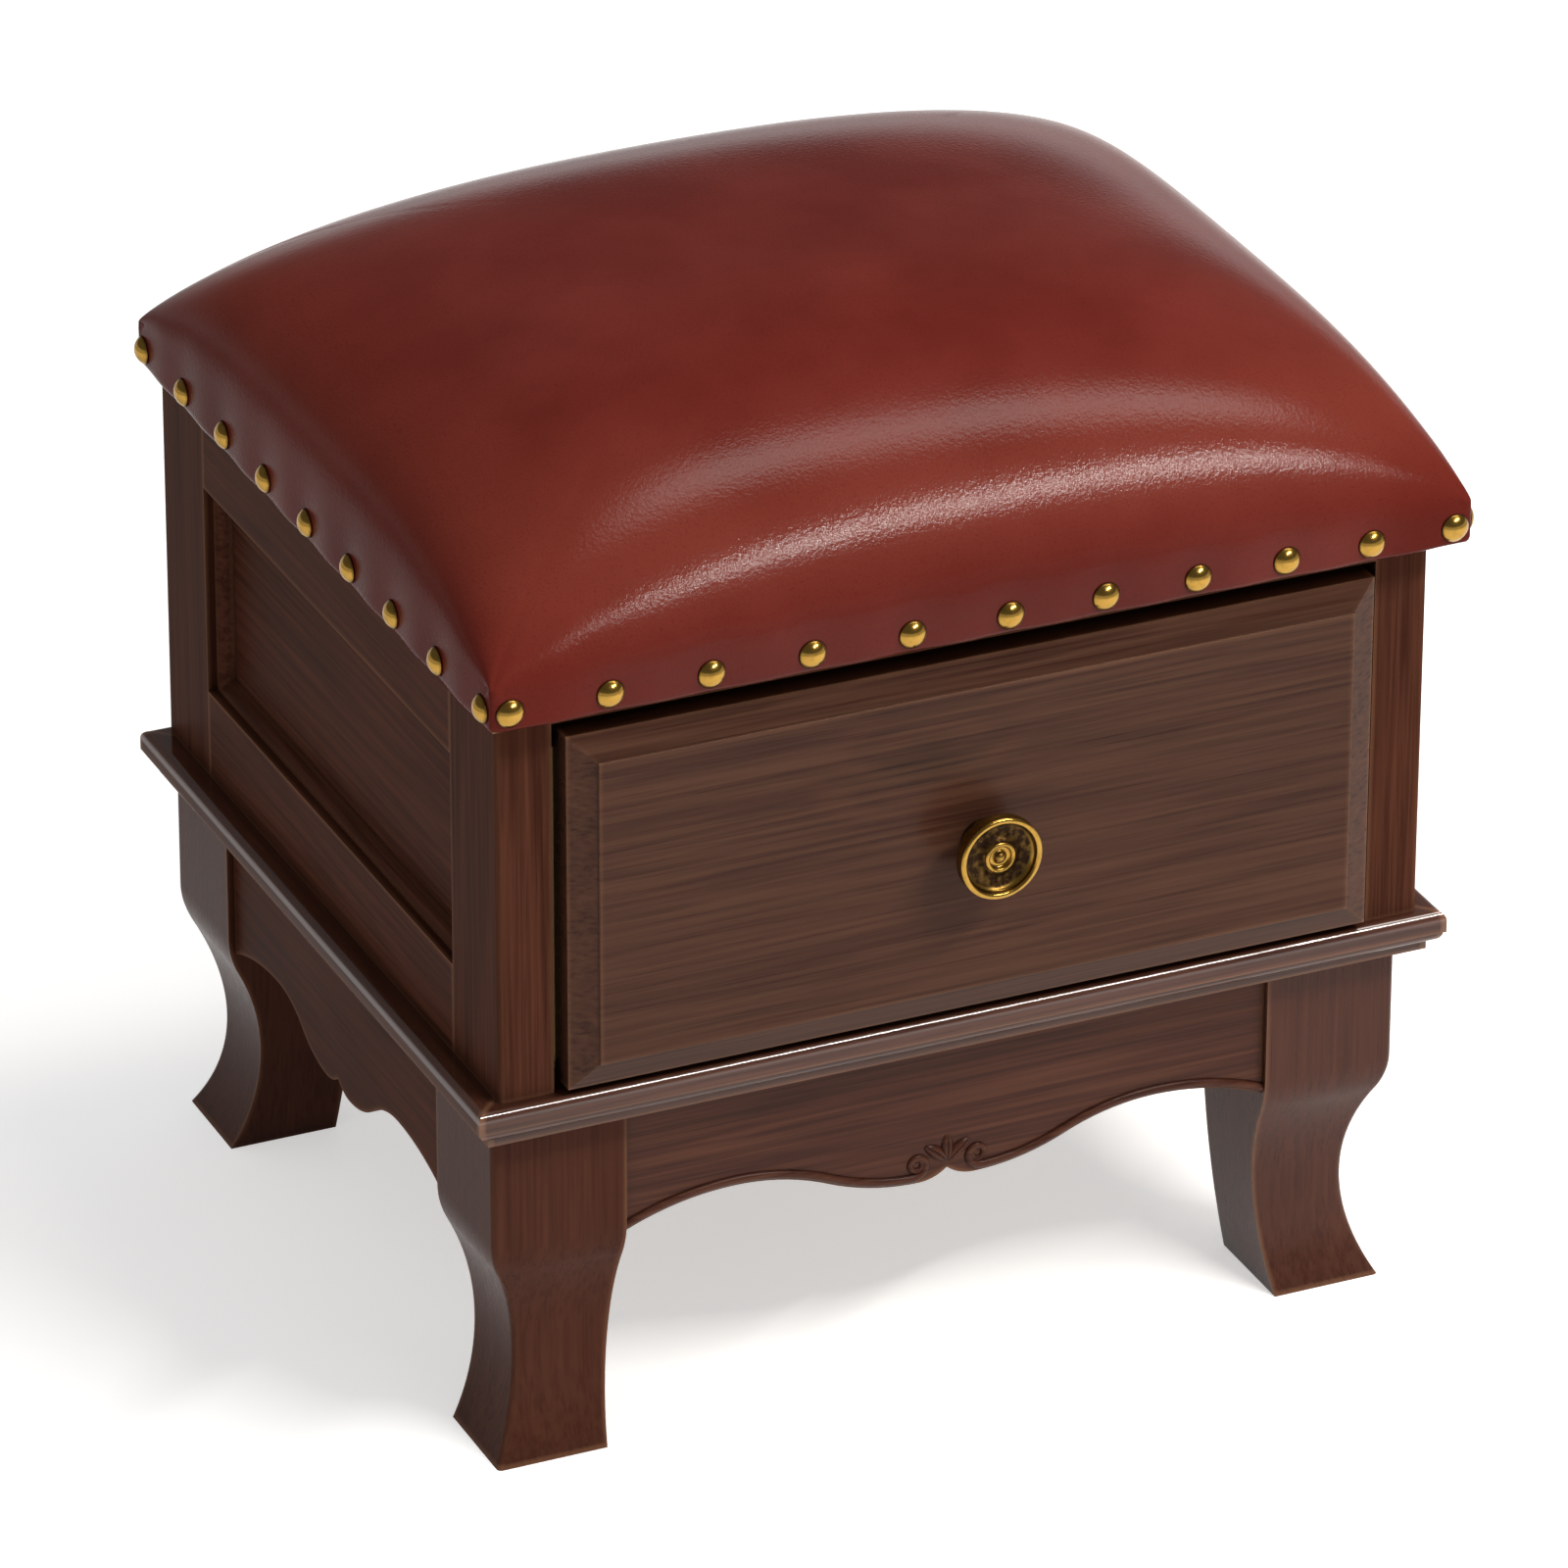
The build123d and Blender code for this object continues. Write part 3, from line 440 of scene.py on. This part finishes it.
def arc(centre, radius, from_angle, to_angle, count):
    """Points of an arc in the plane of radius and height, angles in degrees from the radius axis."""
    angle = np.radians(np.linspace(from_angle, to_angle, count))
    return np.stack([centre[0] + radius * np.cos(angle), centre[1] + radius * np.sin(angle)], -1)


# The knob's profile, radius and height in mm: foot, neck, rim, dish, the ring round the middle, and the boss.
knob_low, knob_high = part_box("drawer_knob")
knob_z = (knob_low.z + knob_high.z) / 2
knob_profile = np.concatenate([
    [[0.3, 0], [8.3, 0], [8.5, 0.3], [8.5, 1.3]],
    arc((11.2, 6.5), 5.3, 220, 180, 7),
    arc((16.2, 6.2), 10.2, 175, 135, 9),
    [[14.9, 13.2]],
    arc((15.2, 15.4), 2.3, -60, 20, 8),
    arc((16.2, 18.7), 1.3, 0, 180, 17),
    arc((10.7, 20.2), 4.5, -150, -30, 15)[::-1],
    [[6.5, 17.4]],
    arc((5.6, 17.6), 0.95, 0, 180, 11),
    [[4.4, 16.9], [3.4, 16.7], [2.7, 16.9]],
    arc((0.0, 16.6), 2.5, 20, 86, 9),
])
knob_rows, knob_columns = len(knob_profile), 96
# Patina at some rows of the profile, from 0 for bright to 1 for dark, and even steps between them.
patina_rows = 0, 26, 34, 46, 49, 62, 64, 74, 77, 79, 88
patina_there = 0.9, 0.6, 0.05, 0.0, 0.95, 0.95, 0.25, 0.15, 0.9, 0.7, 0.1
knob_patina = np.interp(np.arange(knob_rows), patina_rows, patina_there)
around = np.radians(np.linspace(0, 360, knob_columns, endpoint=False))
radius, height = knob_profile[:, :1] * mm, knob_profile[:, 1:] * mm
knob_points = np.stack(np.broadcast_arrays(
    radius * np.cos(around), knob_high.y - height, knob_z + radius * np.sin(around)
), -1)
brass = aged_brass()
knob_faces = grid_faces(knob_rows, knob_columns, closed=True) + end_caps(knob_rows, knob_columns)
knob = surface_piece("knob_turned", knob_points, knob_faces, brass, "drawer")
point_attribute(knob, "patina_and_shade", np.repeat(knob_patina[:, None], knob_columns, 1))
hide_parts("drawer_knob")


# Seat cover: one piece of oxblood leather drawn over a foam crown on a plywood board and nailed at its edge.
# Smooth full-grain hide, dyed and waxed: a fine pebble, soft mottling, and a long satin shine on the roll.


def waxed_leather():
    """Dyed full-grain leather: cloudy dye, pebbled pores and a waxed satin skin.

    The attribute drawn marks places pulled taut and paler, polish those that sitting has rubbed to a shine.
    """
    cloud, pebble, pore = 70 * mm, 1.9 * mm, 0.9 * mm
    leather_tones = "#561b15", "#63241d", "#8c4436", "#45140f"
    dye_dark, dye_light, stretched, pitted = (linear(tone) for tone in leather_tones)
    taut_depth, pit_depth, pebble_height, dry_shine, waxed_shine = 0.3, 0.3, 0.6, 0.03, 0.12
    material, tree, place = blank_material("oxblood_waxed_leather")
    mottle = node(tree, "TexNoise", {"Vector": place, "Scale": 1 / cloud, "Detail": 3.0}).outputs[0]
    blotch = node(tree, "MapRange", {0: mottle, 1: 0.35, 2: 0.68}).outputs[0]
    cell = node(tree, "TexVoronoi", {"Vector": place, "Scale": 1 / pebble}).outputs["Distance"]
    fine = node(tree, "TexNoise", {"Vector": place, "Scale": 1 / pore, "Detail": 3.0}).outputs[0]
    drawn = node(tree, "Attribute", {}, attribute_name="drawn").outputs["Fac"]
    dyed = node(tree, "Mix", {0: blotch, 6: dye_dark, 7: dye_light}, data_type="RGBA").outputs[2]
    taut = node(tree, "Math", {0: drawn, 1: taut_depth}, operation="MULTIPLY").outputs[0]
    paler = node(tree, "Mix", {0: taut, 6: dyed, 7: stretched}, data_type="RGBA").outputs[2]
    pit = node(tree, "MapRange", {0: fine, 1: 0.3, 2: 0.46, 3: pit_depth, 4: 0.0}).outputs[0]
    colour = node(tree, "Mix", {0: pit, 6: paler, 7: pitted}, data_type="RGBA").outputs[2]
    rough = node(tree, "MapRange", {0: mottle, 1: 0.3, 2: 0.7, 3: 0.12, 4: 0.18}).outputs[0]
    relief = node(tree, "Math", {0: cell, 1: pebble_height, 2: fine}, operation="MULTIPLY_ADD").outputs[0]
    skin = node(tree, "Bump", {"Height": relief, "Strength": 0.3, "Distance": 0.25 * mm}).outputs[0]
    polish = node(tree, "Attribute", {}, attribute_name="polish").outputs["Fac"]
    shine = node(tree, "MapRange", {0: polish, 3: dry_shine, 4: waxed_shine}).outputs[0]
    shader = node(tree, "BsdfPrincipled", {
        "Base Color": colour, "Roughness": rough, "Normal": skin, "IOR": 1.45, "Specular IOR Level": shine,
    })
    node(tree, "OutputMaterial", {"Surface": shader.outputs[0]})
    return material


def crown_share(distance, half_span, spread, fullness):
    """Share of the crown's rise at a distance from its middle, level there and upright at the rim.

    One less the distance's share of the half span to the power of its spread, then the root of its fullness.
    """
    return np.maximum(1 - (np.abs(distance) / half_span) ** spread, 0) ** (1 / fullness)


def even_places(half_span, rise, form, count):
    """Places along a span at equal steps of length along the crown above it."""
    close_count = 4001
    close_steps = half_span * np.sin(np.linspace(-np.pi / 2, np.pi / 2, close_count))
    lift = rise * crown_share(close_steps, half_span, *form)
    length = np.concatenate([[0], np.cumsum(np.hypot(np.diff(close_steps), np.diff(lift)))])
    return np.interp(np.linspace(0, length[-1], count), length, close_steps)


# A form is a spread and a fullness. The hem's loops go down outside, turn in, back up and in under the pad.
cover_low, cover_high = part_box("leather_cover")
board_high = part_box("seat_board")[1]
half_x = (cover_high.x - cover_low.x) / 2
half_y = (cover_high.y - cover_low.y) / 2
middle_y = (cover_high.y + cover_low.y) / 2
crown_proud, left_to_swell = 2 * mm, 2.5 * mm
crown_rise = cover_high.z - board_high.z + crown_proud
start_rise = crown_rise - left_to_swell
form_x = 2.29, 2.71
form_y = 3.2, 1.66
corner_power = 160.0
hem_inset = np.array([0, 0, 0, 0, 0, 0, 0.35, 1.2, 1.9, 1.96, 20, 80]) * mm
hem_drop = np.array([3, 6, 8.5, 11, 13.5, 15.6, 17.1, 17.75, 17.85, -0.05, -0.05, -0.05]) * mm
hem_outer_loops = 8


def crowned_cover(count_x, count_y):
    """The cover's points and faces: a crowned grid, then loops down its edge, round the hem and inwards.

    The crown's rise is the product of its share from side to side and its share front to back. To round the
    outline's corners a point is divided by the root of the sum of high powers of its two shares of the half
    widths, each over the greater of them.
    """
    along_x = even_places(half_x, start_rise, form_x, count_x)
    along_y = even_places(half_y, start_rise, form_y, count_y)
    across, deep = np.meshgrid(along_x, along_y, indexing="ij")
    shares = crown_share(across, half_x, *form_x) * crown_share(deep, half_y, *form_y)
    crown_z = board_high.z + start_rise * shares
    share_x, share_y = np.abs(across) / half_x, np.abs(deep) / half_y
    greater = np.maximum(np.maximum(share_x, share_y), 1e-9)
    powers = (share_x / greater) ** corner_power + (share_y / greater) ** corner_power
    drawn_in = np.maximum(powers, 1) ** (-1 / corner_power)
    crown = np.stack([across * drawn_in, deep * drawn_in, crown_z], -1).reshape(-1, 3)
    number_of = np.arange(len(crown)).reshape(count_x, count_y)
    rim = np.concatenate([number_of[:, 0], number_of[-1, 1:], number_of[-2::-1, -1], number_of[0, -2:0:-1]])
    shrink = 1 - hem_inset[:, None, None] / np.array([half_x, half_y])
    loops_xy = crown[rim, :2] * shrink
    loops_z = np.broadcast_to((board_high.z - hem_drop)[:, None, None], loops_xy.shape[:2] + (1,))
    loops = np.concatenate([loops_xy, loops_z], -1).reshape(-1, 3)
    pole = [[0, 0, loops[-1, 2]]]
    points = np.concatenate([crown, loops, pole]) + [0, middle_y, 0]
    hem_numbers = len(crown) + np.arange(len(loops)).reshape(-1, len(rim))
    loop_numbers = np.concatenate([rim[None], hem_numbers])
    upper, lower = loop_numbers[:-1], loop_numbers[1:]
    skirt = np.stack([upper, lower, np.roll(lower, -1, 1), np.roll(upper, -1, 1)], -1).reshape(-1, 4)
    last = loop_numbers[-1]
    under = np.stack([last, np.full(len(rim), len(points) - 1), np.roll(last, -1)], -1)
    faces = [face[::-1] for face in grid_faces(count_x, count_y)] + skirt.tolist() + under.tolist()
    return points, faces


def blown_out(points, faces, pinned, frames, cap):
    """How far a cloth held at its pinned points moves under the push of its stuffing, cap at most."""
    mesh = bpy.data.meshes.new("cover_cut")
    mesh.from_pydata(points.tolist(), [], faces)
    piece = bpy.data.objects.new("cover_cut", mesh)
    bpy.context.collection.objects.link(piece)
    held = piece.vertex_groups.new(name="nailed")
    held.add(pinned.tolist(), 1.0, "REPLACE")
    cloth = piece.modifiers.new("stuffing", "CLOTH")
    cloth.settings.vertex_group_mass = "nailed"
    cloth.settings.quality = 4
    cloth.settings.mass = 0.4
    cloth.settings.tension_stiffness = 25
    cloth.settings.compression_stiffness = 25
    cloth.settings.bending_stiffness = 4
    cloth.settings.use_pressure = True
    cloth.settings.uniform_pressure_force = 4
    cloth.settings.effector_weights.gravity = 0
    cloth.collision_settings.use_collision = False
    cloth.point_cache.frame_end = frames
    for frame_number in range(1, frames + 1):
        bpy.context.scene.frame_set(frame_number)
    settled = piece.evaluated_get(bpy.context.evaluated_depsgraph_get()).to_mesh()
    found = np.empty(len(points) * 3)
    settled.vertices.foreach_get("co", found)
    bpy.data.objects.remove(piece)
    bpy.data.meshes.remove(mesh)
    bpy.context.scene.frame_set(1)
    move = found.reshape(-1, 3) - points
    length = np.linalg.norm(move, axis=1, keepdims=True)
    return move * np.minimum(1, cap / np.maximum(length, 1e-9))


def finer(values):
    """A grid with a row and a column added midway between each two."""
    for axis in (0, 1):
        values = np.moveaxis(values, axis, 0)
        doubled = np.empty((2 * len(values) - 1,) + values.shape[1:])
        doubled[::2] = values
        doubled[1::2] = (values[:-1] + values[1:]) / 2
        values = np.moveaxis(doubled, 0, axis)
    return values


def eased(move, passes):
    """A grid of moves, each inner one set pass by pass to its four neighbours' mean, so none creases."""
    for _ in range(passes):
        beside = move[:-2, 1:-1] + move[2:, 1:-1] + move[1:-1, :-2] + move[1:-1, 2:]
        move[1:-1, 1:-1] = beside / 4
    return move


coarse_x, coarse_y = 101, 91
fine_x, fine_y = 2 * coarse_x - 1, 2 * coarse_y - 1
coarse_count, top_count = coarse_x * coarse_y, fine_x * fine_y
rim_count = 2 * (fine_x + fine_y) - 4
settle_frames, most_swelling, ease_passes = 20, 3 * mm, 400
cover_points, cover_faces = crowned_cover(fine_x, fine_y)
cut_points, cut_faces = crowned_cover(coarse_x, coarse_y)
nailed = np.arange(coarse_count, len(cut_points))
pushed = blown_out(cut_points, cut_faces, nailed, settle_frames, most_swelling)[:coarse_count]
eased_push = eased(finer(pushed.reshape(coarse_x, coarse_y, 3)), ease_passes)
cover_points[:top_count] += eased_push.reshape(-1, 3)

# The crown is brought to its full height. The leather is drawn in at each nail and fills out between them.
above = np.maximum(cover_points[:, 2] - board_high.z, 0)
cover_points[:, 2] += above * (crown_rise / above.max() - 1)
nail_height, nail_inset, nail_drift, drift_power = 8 * mm, 8.5 * mm, 9 * mm, 1.4
nail_z = cover_low.z + nail_height
nails_front, nails_side = 11, 9
drift = nail_drift * np.sin(np.pi * np.linspace(0, 1, nails_front) ** drift_power)
front_run = np.linspace(nail_inset - half_x, half_x - nail_inset, nails_front) + drift
side_run = np.linspace(nail_inset - half_y, half_y - nail_inset, nails_side)
swell, tuck, swell_depth, swell_height = 0.9 * mm, 0.35 * mm, 30 * mm, 19 * mm
x, y, z = cover_points.T
hang = np.exp(-((np.maximum(z - nail_z, 0) / swell_height) ** 2))
outer = np.arange(len(cover_points)) < top_count + hem_outer_loops * rim_count
for axis, sign, face, run, places in (
    (1, -1, cover_low.y, x, front_run),
    (1, 1, cover_high.y, x, front_run),
    (0, -1, cover_low.x, y - middle_y, side_run),
    (0, 1, cover_high.x, y - middle_y, side_run),
):
    near = np.clip(1 - np.abs(cover_points[:, axis] - face) / swell_depth, 0, 1) ** 2 * outer
    phase = np.interp(run, places, np.arange(len(places)))
    wave = (1 - np.cos(2 * np.pi * phase)) / 2
    cover_points[:, axis] += sign * near * hang * (swell * wave - tuck)
cover = surface_piece("seat_leather", cover_points, cover_faces, waxed_leather(), "cabinet")

# The roll is pulled taut. The crown and front are rubbed to a shine that fades to the sides and back.
taut_share, taut_spread = 0.42, 0.28
height_share = np.clip((cover_points[:, 2] - board_high.z) / crown_rise, 0, 1)
point_attribute(cover, "drawn", np.exp(-(((height_share - taut_share) / taut_spread) ** 2)))
rub_start, rub_end = 0.65, 0.92
edge_share = np.maximum(np.abs(cover_points[:, 0]) / half_x, (cover_points[:, 1] - middle_y) / half_y)
unrubbed = np.clip((edge_share - rub_start) / (rub_end - rub_start), 0, 1)
point_attribute(cover, "polish", 1 - unrubbed**2 * (3 - 2 * unrubbed))
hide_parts("leather_cover", "foam_pad")
dress(["seat_board"], floor_ply)
dress(["seat_screws"], steel)


# Nails: forty domed brass heads round the lower edge of the leather, pressed from sheet.
# The domes are bright on top, and painted shade darkens them in a line where they meet the leather.

dome_rows, dome_columns = 11, 28


def nail_heads(places, outward):
    """Domes on their places: a spherical cap of the head's radius and height, turned to face outwards."""
    head_radius, head_height, tip_angle = 6 * mm, 3.5 * mm, 0.04
    shade_from, rim_shade_depth = 0.8, 0.8
    ball = (head_radius**2 + head_height**2) / (2 * head_height)
    lean = np.linspace(tip_angle, np.arcsin(head_radius / ball), dome_rows)[:, None]
    spin = np.radians(np.linspace(0, 360, dome_columns, endpoint=False))
    ring, rise = ball * np.sin(lean), head_height - ball * (1 - np.cos(lean)) + 0 * spin
    sideways, upwards = ring * np.cos(spin), ring * np.sin(spin)
    level = np.stack([outward[:, 1], -outward[:, 0], 0 * outward[:, 0]], -1)
    shape = (len(places), 1, 1, 3)
    points = places.reshape(shape) + rise[None, ..., None] * outward.reshape(shape)
    points = points + sideways[None, ..., None] * level.reshape(shape) + [0, 0, 1] * upwards[None, ..., None]
    # Painted shade: each dome darkens towards its rim, where it meets the leather.
    rim_painted_shade = np.clip((lean / lean.max() - shade_from) / (1 - shade_from), 0, 1) * rim_shade_depth
    return points, np.broadcast_to(rim_painted_shade[None], points.shape[:3])


nail_rows = (
    (front_run, np.full(nails_front, cover_low.y), (0, -1, 0)),
    (front_run, np.full(nails_front, cover_high.y), (0, 1, 0)),
    (np.full(nails_side, cover_low.x), middle_y + side_run, (-1, 0, 0)),
    (np.full(nails_side, cover_high.x), middle_y + side_run, (1, 0, 0)),
)
nail_at = np.concatenate([
    np.stack([at_x, at_y, np.full(len(at_x), nail_z)], -1) for at_x, at_y, _ in nail_rows
])
nail_out = np.concatenate([np.tile(out, (len(at_x), 1)) for at_x, _, out in nail_rows]).astype(float)
head_points, head_painted_shade = nail_heads(nail_at, nail_out)
head_faces = []
for number in range(len(nail_at)):
    first = number * dome_rows * dome_columns
    head_faces += grid_faces(dome_rows, dome_columns, first, closed=True)
    head_faces += end_caps(dome_rows, dome_columns, first)
nails = surface_piece("seat_nail_heads", head_points, head_faces, brass, "cabinet")
# On the nails this attribute holds painted shade at the rims.
point_attribute(nails, "patina_and_shade", head_painted_shade)
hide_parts("seat_nails")


# Studio: a pale floor, a white surround and three soft lamps, the brightest high at the front right.
# The floor glows white to the camera and in reflections. The glow fades far off and in a soft oval at the
# left and behind, out of the photo's view, so that the stool's left side doesn't mirror a grey veil.


def seen_directly(tree):
    """1 for camera, mirror and glass rays, 0 for the soft light that falls on the object."""
    rays = node(tree, "LightPath", {}).outputs
    mirrored = node(tree, "Math", {0: rays["Is Camera Ray"], 1: rays["Is Glossy Ray"]}, operation="MAXIMUM")
    seen = {0: mirrored.outputs[0], 1: rays["Is Transmission Ray"]}
    return node(tree, "Math", seen, operation="MAXIMUM").outputs[0]


floor_half = 6.0
floor_points = np.array([[-1, -1, 0], [1, -1, 0], [1, 1, 0], [-1, 1, 0]]) * floor_half
floor_mesh = bpy.data.meshes.new("studio_floor")
floor_mesh.from_pydata(floor_points.tolist(), [], [(0, 1, 2, 3)])
floor = bpy.data.objects.new("studio_floor", floor_mesh)
bpy.context.collection.objects.link(floor)
floor_greys = linear("#f0f0f0"), linear("#f6f6f6")
dust_patch = 125 * mm
dim_centre, dim_turn, dim_reach = (-0.36, 0.8, 0.0), (0.0, 0.0, np.radians(-21.7)), (0.3, 0.95, 1.0)
dim_glow, full_glow, fade_start, fade_end, far_share = 0.15, 0.5, 1.4, 2.4, 0.1
floor_paint, floor_tree, floor_place = blank_material("white_painted_floor")
floor_dust = node(floor_tree, "TexNoise", {"Vector": floor_place, "Scale": 1 / dust_patch}).outputs[0]
floor_tone = node(floor_tree, "Mix", {0: floor_dust, 6: floor_greys[0], 7: floor_greys[1]}, data_type="RGBA")
dim_oval = node(floor_tree, "Mapping", {
    "Vector": floor_place, "Location": dim_centre, "Rotation": dim_turn, "Scale": dim_reach,
}, vector_type="TEXTURE")
from_dim = node(floor_tree, "VectorMath", {0: dim_oval.outputs[0]}, operation="LENGTH").outputs["Value"]
brighter = node(floor_tree, "MapRange", {0: from_dim, 1: 0.4, 2: 1.0, 3: dim_glow, 4: full_glow}).outputs[0]
far_off = node(floor_tree, "VectorMath", {0: floor_place}, operation="LENGTH").outputs["Value"]
fade = {0: far_off, 1: fade_start, 2: fade_end, 3: 1.0, 4: far_share}
fading = node(floor_tree, "MapRange", fade).outputs[0]
lit = node(floor_tree, "Math", {0: brighter, 1: fading}, operation="MULTIPLY").outputs[0]
glow = node(floor_tree, "Math", {0: seen_directly(floor_tree), 1: lit}, operation="MULTIPLY").outputs[0]
floor_shader = node(floor_tree, "BsdfPrincipled", {
    "Base Color": floor_tone.outputs[2], "Roughness": 0.9, "Specular IOR Level": 0.1,
    "Emission Color": (1, 1, 1, 1), "Emission Strength": glow,
})
node(floor_tree, "OutputMaterial", {"Surface": floor_shader.outputs[0]})
floor_mesh.materials.append(floor_paint)

# The surround is white at the horizon and greys quickly above it, and its own light is soft.
soft_light, ceiling_height, ceiling_grey = 0.38, 0.15, 0.15
world = bpy.data.worlds.new("white_surround")
world.use_nodes = True
sky = world.node_tree
sky.nodes.clear()
heading = node(sky, "TexCoord", {}).outputs["Generated"]
height_of = node(sky, "SeparateXYZ", {0: heading}).outputs["Z"]
ceiling = node(sky, "MapRange", {0: height_of, 1: 0.0, 2: ceiling_height, 3: 1.0, 4: ceiling_grey}).outputs[0]
seen = seen_directly(sky)
strength = node(sky, "Mix", {0: seen, 2: soft_light, 3: ceiling}, data_type="FLOAT").outputs[0]
surround = node(sky, "Background", {"Color": (1, 1, 1, 1), "Strength": strength})
node(sky, "OutputWorld", {"Surface": surround.outputs[0]})
bpy.context.scene.world = world

# The front lamp only fills the shadows, so it isn't mirrored.
aim = Vector((0, 0, 0.3))
lamp_tint = linear("#fffaf3")[:3]
for name, direction, distance, size, power in (
    ("key_lamp", (0.38, -0.61, 0.69), 2.2, (1.1, 0.06), 35.0),
    ("top_lamp", (0.35, -0.08, 0.93), 2.4, (0.5, 1.5), 25.0),
    ("front_lamp", (0.3, -0.85, 0.3), 2.8, (1.5, 1.5), 5.0),
):
    lamp = bpy.data.lights.new(name, "AREA")
    lamp.shape = "RECTANGLE"
    lamp.size, lamp.size_y = size
    lamp.energy = power
    lamp.color = lamp_tint
    holder = bpy.data.objects.new(name, lamp)
    bpy.context.collection.objects.link(holder)
    holder.location = aim + Vector(direction).normalized() * distance
    holder.visible_glossy = name != "front_lamp"
    holder.rotation_euler = (aim - holder.location).to_track_quat("-Z", "Y").to_euler()


# Camera: above and to the left of the front, with the long lens of a catalogue photograph.
# Its place, turn and lens were fitted to the edges of the box, waist and feet in the photo.

camera = bpy.data.cameras.new("photo_view")
camera.sensor_width = 36.0
camera.lens = 241.57
viewer = bpy.data.objects.new("photo_view", camera)
bpy.context.collection.objects.link(viewer)
right = Vector((0.9124, -0.40929, 0.00239))
up = Vector((0.18396, 0.41529, 0.89089))
forward = Vector((0.36563, 0.81241, -0.45421))
stand_point = -1.56329, -3.46170, 2.13260
turned = Matrix((right, up, -forward)).transposed().to_4x4()
viewer.matrix_world = Matrix.Translation(stand_point) @ turned
bpy.context.scene.camera = viewer
bpy.context.scene.view_settings.view_transform = "Standard"
